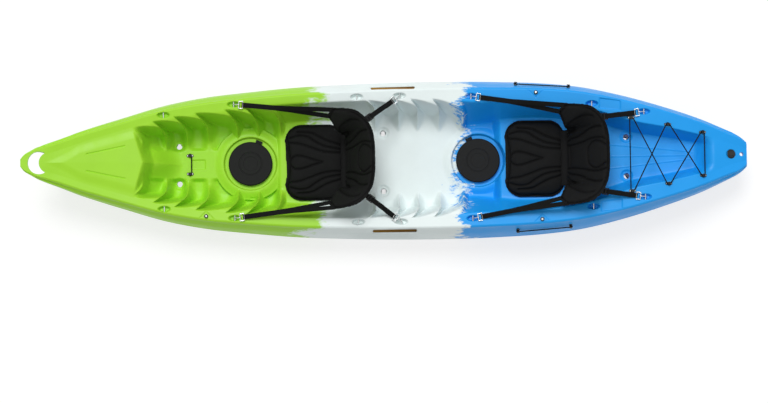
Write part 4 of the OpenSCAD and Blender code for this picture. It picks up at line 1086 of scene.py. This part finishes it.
def backrest_form(seat):
    """Backrest as rings across it: padded face up, thin back down, a little undersize."""
    s = np.linspace(-0.99, 0.99, 73)[:, None]
    up = (0.5 - 0.5 * np.cos(np.linspace(0, math.pi, 29)))[None, :]
    down = np.linspace(0.98, 0.02, 21)[None, :]
    face = back_place(seat, s + 0 * up, up + 0 * s, FACE_SHARE * back_thickness(s, up) - PAD_IN)
    rear = back_place(seat, s + 0 * down, down + 0 * s, REAR_IN - REAR_SHARE * back_thickness(s, down))
    return np.concatenate([face, rear], 1)


def tube_faces(rows, columns, start=0, ends=True):
    """Faces between rings of equal count, with both ends closed or left open."""
    faces = (grid_quads(rows, columns) + start).tolist()
    if ends:
        last = start + (rows - 1) * columns
        faces += [list(range(start + columns - 1, start - 1, -1)), list(range(last, last + columns))]
    return faces


def ring_piece(name, rings, material):
    return mesh_piece(name, rings.reshape(-1, 3), tube_faces(*rings.shape[:2]), material)


def places(mesh, kind="co"):
    """Places, or normals, of a mesh's points as an array."""
    out = np.empty(3 * len(mesh.vertices))
    mesh.vertices.foreach_get(kind, out)
    return out.reshape(-1, 3)


def set_places(mesh, co):
    mesh.vertices.foreach_set("co", co.ravel())
    mesh.update()


def bake(obj):
    """Turns the object's modifiers into its mesh."""
    depsgraph = bpy.context.evaluated_depsgraph_get()
    mesh = bpy.data.meshes.new_from_object(obj.evaluated_get(depsgraph))
    old = obj.data
    obj.modifiers.clear()
    obj.data = mesh
    bpy.data.meshes.remove(old)
    shade_faces(mesh)


PUFF_VOXEL = 0.005
PUFF_PRESSURE = 4.0
PUFF_QUALITY = 4
PUFF_FRAMES = 20
PUFF_CAP = 0.006


def puff(obj):
    """Blows a padded shape up by a short cloth run; each place swells outward, no further than the cap."""
    before = places(obj.data)
    outward = places(obj.data, "normal")
    cloth = obj.modifiers.new("puff", "CLOTH")
    cloth.settings.use_pressure = True
    cloth.settings.uniform_pressure_force = PUFF_PRESSURE
    cloth.settings.effector_weights.gravity = 0.0
    cloth.settings.quality = PUFF_QUALITY
    cloth.point_cache.frame_start = 1
    cloth.point_cache.frame_end = PUFF_FRAMES
    scene = bpy.context.scene
    for number in range(1, PUFF_FRAMES + 1):
        scene.frame_set(number)
    depsgraph = bpy.context.evaluated_depsgraph_get()
    moved = places(obj.evaluated_get(depsgraph).data) - before
    obj.modifiers.clear()
    scene.frame_set(1)
    swell = np.clip((moved * outward).sum(1, keepdims=True), 0, PUFF_CAP)
    set_places(obj.data, before + outward * swell)


def soft_form(name, rings, material):
    """Padded piece: closed rings, evenly meshed, puffed up, then refined once."""
    obj = ring_piece(name, rings, material)
    remesh = obj.modifiers.new("even", "REMESH")
    remesh.mode = "VOXEL"
    remesh.voxel_size = PUFF_VOXEL
    bake(obj)
    puff(obj)
    refine_more = obj.modifiers.new("refine", "SUBSURF")
    refine_more.levels = refine_more.render_levels = 1
    bake(obj)
    return obj


# Stitching: share and width of the two valleys along a channel, their depth, and where they fade out
QUILT = ((0.62, 0.0045), (0.38, 0.014))
QUILT_DEPTH = 0.008
QUILT_FACING = (0.3, 0.7)
# Half width of the painted shade along the channels and the edge seam
SEAM_HALF = 0.0055
EDGE_SEAM = 0.014
NOTCH_HALF = 0.12
FOLD_OPEN = 0.02
FOLD_CLEAR = 0.006
LOW_EDGE_FROM = 0.3

# Stitched channels: the base's as distance from the front edge and from the middle, the backrest's as
# distance from the middle and height along its slope
BASE_CHANNELS = (
    ((0.016, 0.103), (0.077, 0.097), (0.135, 0.078), (0.197, 0.056), (0.248, 0.049), (0.304, 0.048)),
    ((0.026, 0.128), (0.077, 0.140), (0.120, 0.134), (0.163, 0.106), (0.210, 0.082), (0.270, 0.070),
     (0.304, 0.066)),
    ((0.070, 0.160), (0.141, 0.154), (0.184, 0.132), (0.227, 0.110), (0.280, 0.094), (0.304, 0.086)),
    ((0.026, 0.0), (0.034, 0.018), (0.052, 0.031), (0.075, 0.034), (0.105, 0.029), (0.150, 0.014),
     (0.196, 0.0)))
BACK_CHANNELS = (
    ((0.058, 0.030), (0.059, 0.085), (0.069, 0.165), (0.082, 0.232), (0.084, 0.290), (0.076, 0.338)),
    ((0.080, 0.035), (0.090, 0.070), (0.096, 0.117), (0.112, 0.178), (0.129, 0.232), (0.137, 0.282),
     (0.137, 0.318)),
    ((0.105, 0.040), (0.124, 0.070), (0.130, 0.100), (0.147, 0.145), (0.172, 0.205), (0.190, 0.262),
     (0.188, 0.298)),
    ((0.0, 0.198), (0.035, 0.205), (0.058, 0.228), (0.069, 0.262), (0.062, 0.300), (0.045, 0.335)),
    ((0.0, 0.030), (0.058, 0.030)), ((0.0, 0.056), (0.056, 0.056)))


def smooth_line(points, count=40):
    """Evenly parted cubic line through plan points."""
    p = np.array(points, float)
    t = run_along(p)
    at = np.linspace(0, t[-1], count)
    return np.column_stack([curve(list(zip(t, p[:, k])), at) for k in range(2)])


def nearest(a, b, channels):
    """Distance from places (a, b) to the nearest of some channels."""
    best = np.full(len(a), np.inf)
    for points in channels:
        line = smooth_line(points)
        for first, last in zip(line[:-1], line[1:]):
            best = np.minimum(best, capsule(a, b, first, last, 0.0))
    return best


def stitch(obj, co, facing, near, edge, towards):
    """Places of a pad's points, sunk along its channels and its edge seam, which are marked for painted
    shade.

    Only what faces the sitter is sunk: towards is the share of each point's normal that does.
    """
    near = np.minimum(near, np.abs(edge - EDGE_SEAM))
    shade_attribute(obj, "seam", np.exp(-(near / SEAM_HALF) ** 2))
    valley = sum(share * np.exp(-(near / wide) ** 2) for share, wide in QUILT)
    return co + facing * (-QUILT_DEPTH * valley * ease(*QUILT_FACING, towards))[:, None]


def quilt_base(obj, seat):
    """Presses the channels and the edge seam into the top of a seat base, and keeps it off the pan."""
    co = places(obj.data)
    facing = places(obj.data, "normal")
    along = co[:, 0] - (SEAT_X[seat] - WELT - BASE_L)
    side = np.abs(co[:, 1])
    front = along - FRONT_NOTCH * (1 - (side / NOTCH_HALF) ** 2).clip(0)
    edge = base_half(clamp01(along / BASE_L)) - side
    edge = np.minimum(edge, np.minimum(front, BASE_L - along + FOLD_OPEN))
    co = stitch(obj, co, facing, nearest(along, side, BASE_CHANNELS), edge, facing[:, 2])
    co[:, 2] = np.maximum(co[:, 2], PAN_Z[seat] + GAP)
    co[:, 0] = np.minimum(co[:, 0], SEAT_X[seat] - FOLD_CLEAR)
    set_places(obj.data, co)


def quilt_back(obj, seat):
    """Presses the channels and the edge seam into the face of a backrest."""
    co = places(obj.data)
    facing = places(obj.data, "normal")
    lean = BACK_LEAN[seat]
    dx = co[:, 0] - SEAT_X[seat]
    dz = co[:, 2] - PAN_Z[seat] - GAP - BASE_EDGE
    height = dx * math.sin(lean) + dz * math.cos(lean)
    forward = dz * math.sin(lean) - dx * math.cos(lean)
    side = np.abs(co[:, 1])
    s = np.linspace(0, 1, 240)
    plan_y, plan_f = back_plan(s)
    across = side[:, None] + back_flare(s) * (back_edges(s)[1] - height[:, None])
    at = s[np.argmin((across - plan_y) ** 2 + (forward[:, None] - plan_f) ** 2, axis=1)]
    ny, nf = back_facing(at)
    out = np.stack([-nf * math.cos(lean), ny * np.sign(co[:, 1]), nf * math.sin(lean)], 1)
    low, top = back_edges(at)
    reach = np.interp(at, s, run_along(np.column_stack([plan_y, plan_f])))
    edge = np.minimum(top - height, reach.max() - reach)
    edge = np.where(at > LOW_EDGE_FROM, np.minimum(edge, height - low), edge)
    near = nearest(side, height, BACK_CHANNELS)
    set_places(obj.data, stitch(obj, co, facing, near, edge, (facing * out).sum(1)))


# Band over the fold: half length, thickness, sag, places and size of its seams, and where its edges lie
FOLD_HALF = 0.142
FOLD_T = 0.006
FOLD_SAG = 0.004
FOLD_SEAMS = 0.62
FOLD_SEAM_HALF = 0.07
FOLD_SEAM_SINK = 0.0018
FOLD_ON_BASE = (-0.027, 0.0255)
FOLD_ON_BACK = (0.06, 0.005)


def fold_band(seat, material):
    """Fabric band over the fold, from the base's top to the backrest's face, with two seams sunk along it.

    A line across the fold sags between its ends; its thickness falls off to both edges and ends.
    """
    first = np.array([SEAT_X[seat], PAN_Z[seat]]) + FOLD_ON_BASE
    last = back_place(seat, 0.0, *FOLD_ON_BACK)[[0, 2]]
    way = unit(last - first)
    square = np.array([-way[1], way[0]])
    top, under = np.linspace(-1, 1, 33), np.linspace(0.96, -0.96, 17)
    q = np.concatenate([top, under])
    upper = np.arange(len(q)) < len(top)
    v = np.sin(np.linspace(-1, 1, 61) * math.pi / 2)[:, None]
    body = 0.5 * FOLD_T * (1 - q ** 4) * (1 - v ** 12)
    seam = FOLD_SEAM_SINK * np.exp(-((np.abs(q) - FOLD_SEAMS) / FOLD_SEAM_HALF) ** 2)
    lift = -FOLD_SAG * (1 - q * q) + np.where(upper, body - seam, -body)
    middle = (first + last) / 2
    reach = np.linalg.norm(last - first) / 2
    x, z = (middle[k] + q * reach * way[k] + lift * square[k] for k in range(2))
    obj = ring_piece(f"{seat}_fold_band", np.stack([x, FOLD_HALF * v + 0 * q, z], 2), material)
    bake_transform(obj)
    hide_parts(f"{seat}_seat_hinge")


def build_seats(material):
    """Both seats: a base that stays on the boat, a backrest that tilts, and the band over their fold."""
    for seat in SEATS:
        fold_band(seat, material)
        base = soft_form(f"{seat}_seat_base_pad", seat_base_form(seat), material)
        quilt_base(base, seat)
        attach(base, "boat")
        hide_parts(f"{seat}_seat_base")
        back = soft_form(f"{seat}_backrest_pad", backrest_form(seat), material)
        quilt_back(back, seat)
        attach(back, f"{seat}_back")
        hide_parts(f"{seat}_backrest")


UP = np.array([0, 0, 1.0])

# Straps: webbing from the ring of each hook to the backrest
WEB_W = 0.025
WEB_T = 0.0024
WEB_START = 0.004
RING_R = 0.0023
RING_SLACK = 0.0002
RING_FAR = {
    ("front", "fore"): (-0.7222, 0.2860, 0.3044), ("front", "aft"): (0.0420, 0.2943, 0.3045),
    ("rear", "fore"): (0.4894, 0.3044, 0.3330), ("rear", "aft"): (1.2734, 0.2109, 0.3680)}
TAIL = (0.045, 0.003)
ANCHOR = (0.5, 0.8)
ANCHOR_OFF = 0.0022
LOOSE_AT = 0.01
LOOSE_L = 0.07
LOOSE_OFF = 0.003
LOOSE_RISE = 0.012
LEG_HEIGHTS = (0.5, 0.8, 0.2)
LEG_END = 0.955
LEG_OUT = 0.003
LEG_LIFT = 0.0015
LEG_EASE = (0.1, 0.2)
SPLIT = 0.36
LEG_TURN = math.radians(62)

# Sliders: three bars across the strap, joined by two along it; thickness and height of each kind
SLIDER_AT = 0.2
BARS_AT = (-0.015, 0.0, 0.015)
BAR_HALF = 0.0165
BAR_SIZE = (0.005, 0.008)
EDGES_AT = (-0.0155, 0.0155)
EDGE_HALF = 0.017
EDGE_SIZE = (0.004, 0.008)


def ribbon(path, wide, thickness=WEB_T, width=WEB_W):
    """Four-cornered rings along a path, their width turned to a direction or to one for each point."""
    way = unit(np.gradient(path, axis=0))
    a = width / 2 * unit(wide - (wide * way).sum(1, keepdims=True) * way)
    n = thickness / 2 * unit(np.cross(way, a))
    return np.stack([path + a + n, path + a - n, path - a - n, path - a + n], 1)


def along_uv(obj, uv):
    """UV map of a long piece, metres along it and a place across it, from values at its points."""
    layer = obj.data.uv_layers.new(name="along")
    corners = np.empty(len(obj.data.loops), int)
    obj.data.loops.foreach_get("vertex_index", corners)
    layer.data.foreach_set("uv", uv[corners].ravel())


def ribbon_piece(name, parts, material, body=None):
    """One flat-shaded piece of several ribbons."""
    verts = np.concatenate([rings.reshape(-1, 3) for rings in parts])
    faces, count = [], 0
    for rings in parts:
        faces += tube_faces(len(rings), 4, count)
        count += len(rings) * 4
    obj = mesh_piece(name, verts, faces, material, body)
    shade_faces(obj.data, False)
    return obj


def add_web(name, parts, material):
    """Webbing of a strap, bending between the boat and a backrest."""
    obj = ribbon_piece(f"{name}_web", parts, material)
    run = np.concatenate([np.repeat(run_along(rings.mean(1)), 4) for rings in parts])
    across = np.tile(np.array([1, 1, 0, 0]) * WEB_W, len(run) // 4)
    along_uv(obj, np.stack([run, across], 1))
    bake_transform(obj)
    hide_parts(f"{name}_strap")


def loop_path(ring, way):
    """Strap end turned back round the far bar of its ring."""
    r = RING_R + GAP + WEB_T / 2 + RING_SLACK
    a = np.linspace(-math.pi / 2, -3 * math.pi / 2, 15)
    bend = ring + r * (np.cos(a)[:, None] * way + np.sin(a)[:, None] * UP)
    tail = bend[0] + np.linspace(*TAIL, 8)[:, None] * way
    return np.concatenate([tail, bend])


def ring_and_way(seat, side, kind, end):
    """Far bar of a strap's ring, and the level direction from it to the strap's end."""
    ring = np.array(RING_FAR[seat, kind]) * (1, side, 1)
    return ring, unit((end - ring) * (1, 1, 0))


def fore_strap(seat, side, word, material):
    """Strap that parts into two legs, which turn flat to the wing one above the other."""
    middle, *ends = (back_place(seat, side * LEG_END, h, LEG_OUT) for h in LEG_HEIGHTS)
    slope = unit(ends[0] - ends[1])
    ring, way = ring_and_way(seat, side, "fore", middle)
    out = side * np.cross(UP, way)
    parts = [ribbon(loop_path(ring, way), out)]
    q = np.linspace(0, 1, 61)[:, None]
    turn = LEG_TURN * ease(SPLIT - LEG_EASE[0], SPLIT + LEG_EASE[1], q)
    for end, lift in zip(ends, (LEG_LIFT * UP, -LEG_LIFT * UP)):
        path = mix(ring + WEB_START * way + lift, middle + lift, q)
        path += (end - middle - lift) * clamp01((q - SPLIT) / (1 - SPLIT))
        parts.append(ribbon(path, out * np.cos(turn) + slope * np.sin(turn)))
    add_web(f"{seat}_{word}_fore", parts, material)


def aft_strap(seat, side, word, material, plastic):
    """Strap to the back of the backrest with a slider and a free end."""
    s, h = ANCHOR
    anchor = back_place(seat, side * s, h, -REAR_SHARE * back_thickness(s, h) - ANCHOR_OFF)
    ring, way = ring_and_way(seat, side, "aft", anchor)
    flat = np.cross(way, UP)
    start = ring + WEB_START * way
    straight = mix(start, anchor, np.linspace(0, 1, 41)[:, None])
    axis = unit(anchor - start)
    up = np.cross(flat, axis)
    up *= np.sign(up[2])
    middle = mix(anchor, start, SLIDER_AT)
    t = np.linspace(0, 1, 25)[:, None]
    loose = middle - axis * (LOOSE_AT + LOOSE_L * t) + up * (LOOSE_OFF + LOOSE_RISE * t ** 2)
    parts = [ribbon(path, flat) for path in (loop_path(ring, way), straight, loose)]
    add_web(f"{seat}_{word}_aft", parts, material)
    bars = []
    for places_at, step, line, half, size in (
            (BARS_AT, axis, flat, BAR_HALF, BAR_SIZE), (EDGES_AT, flat, axis, EDGE_HALF, EDGE_SIZE)):
        for at in places_at:
            path = middle + step * at + np.linspace(-half, half, 9)[:, None] * line
            bars.append(ribbon(path, up, *size))
    slider = ribbon_piece(f"{seat}_{word}_slider", bars, plastic, f"{seat}_back")
    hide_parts(f"{seat}_strap_sliders")


def build_straps(material, plastic):
    """Fore and aft straps of both seats on both sides."""
    for seat in SEATS:
        for side, word in SIDES:
            fore_strap(seat, side, word, material)
            aft_strap(seat, side, word, material, plastic)


# Bungee cords: round two posts and back along one side, or in one lacing round the posts of the tank well
CORD_R = 0.003
CORD_SIDES = 12
CORD_STEP = 0.004
TURN_R = 0.0078
POST_H = 0.0084
POST_WRAP = 200
FOOT_POSTS = ((-1.005, 0.047, 0.0912), (-1.005, -0.047, 0.0912))
SIDE_POSTS = ((0.941, 0.3515, 0.285), (0.673, 0.37, 0.273))
SIDE_FACING = (0, 0.93, 0.36)
TANK_POSTS = ((1.25417, 0.186634, 0.367133), (1.44112, 0.15042, 0.351016), (1.62072, 0.110242, 0.321614))
TANK_SLOPE = (-0.0205, -0.1351, -0.2086)
CROSSING = 0.0033


def cord_tube(name, path, up, closed, material, node):
    """Round cord along a path: circles square to it, their first axis square to the direction up."""
    way = unit(np.roll(path, -1, 0) - np.roll(path, 1, 0) if closed else np.gradient(path, axis=0))
    a = unit(np.cross(way, up))
    b = np.cross(a, way)
    turn = np.linspace(0, 2 * math.pi, CORD_SIDES, endpoint=False)[None, :, None]
    rings = path[:, None] + CORD_R * (np.cos(turn) * a[:, None] + np.sin(turn) * b[:, None])
    if closed:
        rings = np.concatenate([rings, rings[:1]])
    rows = len(rings)
    faces = tube_faces(rows, CORD_SIDES, ends=not closed)
    obj = mesh_piece(name, rings.reshape(-1, 3), faces, material, "boat")
    across = np.arange(CORD_SIDES) / CORD_SIDES
    along_uv(obj, np.stack([np.repeat(run_along(rings.mean(1)), CORD_SIDES), np.tile(across, rows)], 1))
    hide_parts(node)


def even_path(points):
    """Points at even steps along straight lines between some points."""
    p = np.array(points)
    run = run_along(p)
    at = np.linspace(0, run[-1], int(run[-1] / CORD_STEP) + 2)
    return np.stack([np.interp(at, run, p[:, k]) for k in range(3)], 1)


def strung_path(first, second, up):
    """From half a turn round one post, along to the other post and half a turn round it."""
    first, second, up = (np.array(v, float) for v in (first, second, up))
    y = unit(first - second)
    n = unit(up - up.dot(y) * y)
    x = np.cross(y, n)
    a = np.radians(np.linspace(POST_WRAP, 0, 17))[:, None]
    turn = first + POST_H * n + TURN_R * (np.cos(a) * x + np.sin(a) * y)
    back = second + POST_H * n + TURN_R * (np.cos(a[::-1]) * x - np.sin(a[::-1]) * y)
    return even_path(np.concatenate([turn, back])), n


def lacing_path():
    """The tank well's lacing: from post to post, crossing over and under itself twice."""
    def post(k, side):
        return np.array(TANK_POSTS[k]) * (1, side, 1)

    def turn(k, side, first, last):
        a = np.radians(np.linspace(first, last, 15))
        bend = np.stack([np.cos(a), side * np.sin(a), np.cos(a) * TANK_SLOPE[k]], 1)
        return post(k, side) + TURN_R * bend

    def cross(k, side, lift):
        return ((post(k, side) + post(k + 1, -side)) / 2 + (0, 0, lift))[None]

    return even_path(np.concatenate([
        turn(0, 1, 190, 30), cross(0, 1, CROSSING), turn(1, -1, 150, 35), cross(1, -1, -CROSSING),
        turn(2, 1, 145, -10), turn(2, -1, -10, 145), cross(1, 1, CROSSING), turn(1, 1, 35, 150),
        cross(0, -1, -CROSSING), turn(0, -1, 30, 190), turn(0, 1, 190, 188)]))[:-1]


def build_cords(material):
    """Foot rest bungee, the two paddle bungees on the flanks and the tank well's lacing."""
    path, up = strung_path(*FOOT_POSTS, UP)
    cord_tube("foot_cord", path, up, False, material, "foot_bungee")
    for side, word in SIDES:
        path, up = strung_path(*(np.array(v) * (1, side, 1) for v in SIDE_POSTS + (SIDE_FACING,)))
        cord_tube(f"{word}_paddle_cord", path, up, False, material, f"{word}_paddle_bungee")
    cord_tube("tank_lacing", lacing_path(), UP, True, material, "tank_bungee")


def dress_solids(finishes):
    """Finishes of the fittings that show as their solids."""
    slots = {s["node"]: s["material_slot"] for s in frame["record"]["subparts"]}
    for name, obj in frame["nodes"].items():
        if slots[name] in finishes:
            obj.data.materials.clear()
            obj.data.materials.append(finishes[slots[name]])


# Painted shade along the seat fabric's channels and edge seams
SEAM_PAINTED_SHADE = (0.0012, 0.0012, 0.0012, 1.0)
COOL = 1.03

# Each material slot: effect and its values, two tones, two roughnesses, relief, metal share, mirror strength
FINISHES = {
    "stainless": (
        "streaks", {}, (0.50, 0.66), (0.18, 0.34), 0.00004, 1.0, 0.5),
    "black_plastic": (
        "grain", {"Grain": 1800.0, "Cloud": 60.0}, (0.004, 0.008), (0.38, 0.52), 0.00010, 0.0, 0.25),
    "seat_fabric": (
        "weave", {"Threads": 620.0}, (0.005, 0.009), (0.7, 0.85), 0.00025, 0.0, 0.12),
    "webbing": (
        "threads", {}, (0.0035, 0.0085), (0.6, 0.75), 0.0004, 0.0, 0.08),
    "bungee_cord": (
        "threads", {"Ribs": 500.0, "Middle": 0.5, "Slant": 0.012}, (0.003, 0.012), (0.6, 0.8), 0.0003,
        0.0, 0.1),
    "hatch_rubber": (
        "grain", {"Grain": 1300.0, "Cloud": 35.0}, (0.010, 0.017), (0.55, 0.7), 0.00018, 0.0, 0.1),
    "tyre_rubber": (
        "grain", {"Grain": 1500.0, "Cloud": 40.0}, (0.005, 0.009), (0.6, 0.75), 0.00018, 0.0, 0.15),
    "bush_plastic": (
        "grain", {"Grain": 2000.0, "Cloud": 80.0}, (0.62, 0.72), (0.35, 0.45), 0.00006, 0.0, 0.4)}


def build_finishes(grain):
    """Materials of everything but the hull, by the record's material slot; shade is painted darker into the
    fabric's seams.
    """
    groups = {"grain": grain, "weave": cover_weave(), "threads": along_weave(), "streaks": brushed()}
    finishes = {}
    for name, (kind, values, tones, rough, relief, metal, mirror) in FINISHES.items():
        colours = [(v, v * COOL, v * COOL, 1.0) for v in tones]
        material, shader = new_material(name, colours[1], rough[0], metal, mirror)
        textured(material, shader, groups[kind], values, colours, rough, relief)
        finishes[name] = material
    tree = finishes["seat_fabric"].node_tree
    base = tree.nodes["Principled BSDF"].inputs["Base Color"]
    # Painted shade: the seat fabric is darkened along its channels and edge seams by the seam attribute
    seam = add_node(tree, "Attribute", attribute_name="seam")["Fac"]
    feed(tree, base, between(tree, seam, base.links[0].from_socket, SEAM_PAINTED_SHADE))
    return finishes


grain = moulded_grain()
hull_finish = hull_material(grain)
finishes = build_finishes(grain)
build_hull(hull_finish)
build_hole_walls(hull_finish)
build_seats(finishes["seat_fabric"])
build_straps(finishes["webbing"], finishes["black_plastic"])
build_cords(finishes["bungee_cord"])
dress_solids(finishes)
build_stage()
build_camera()
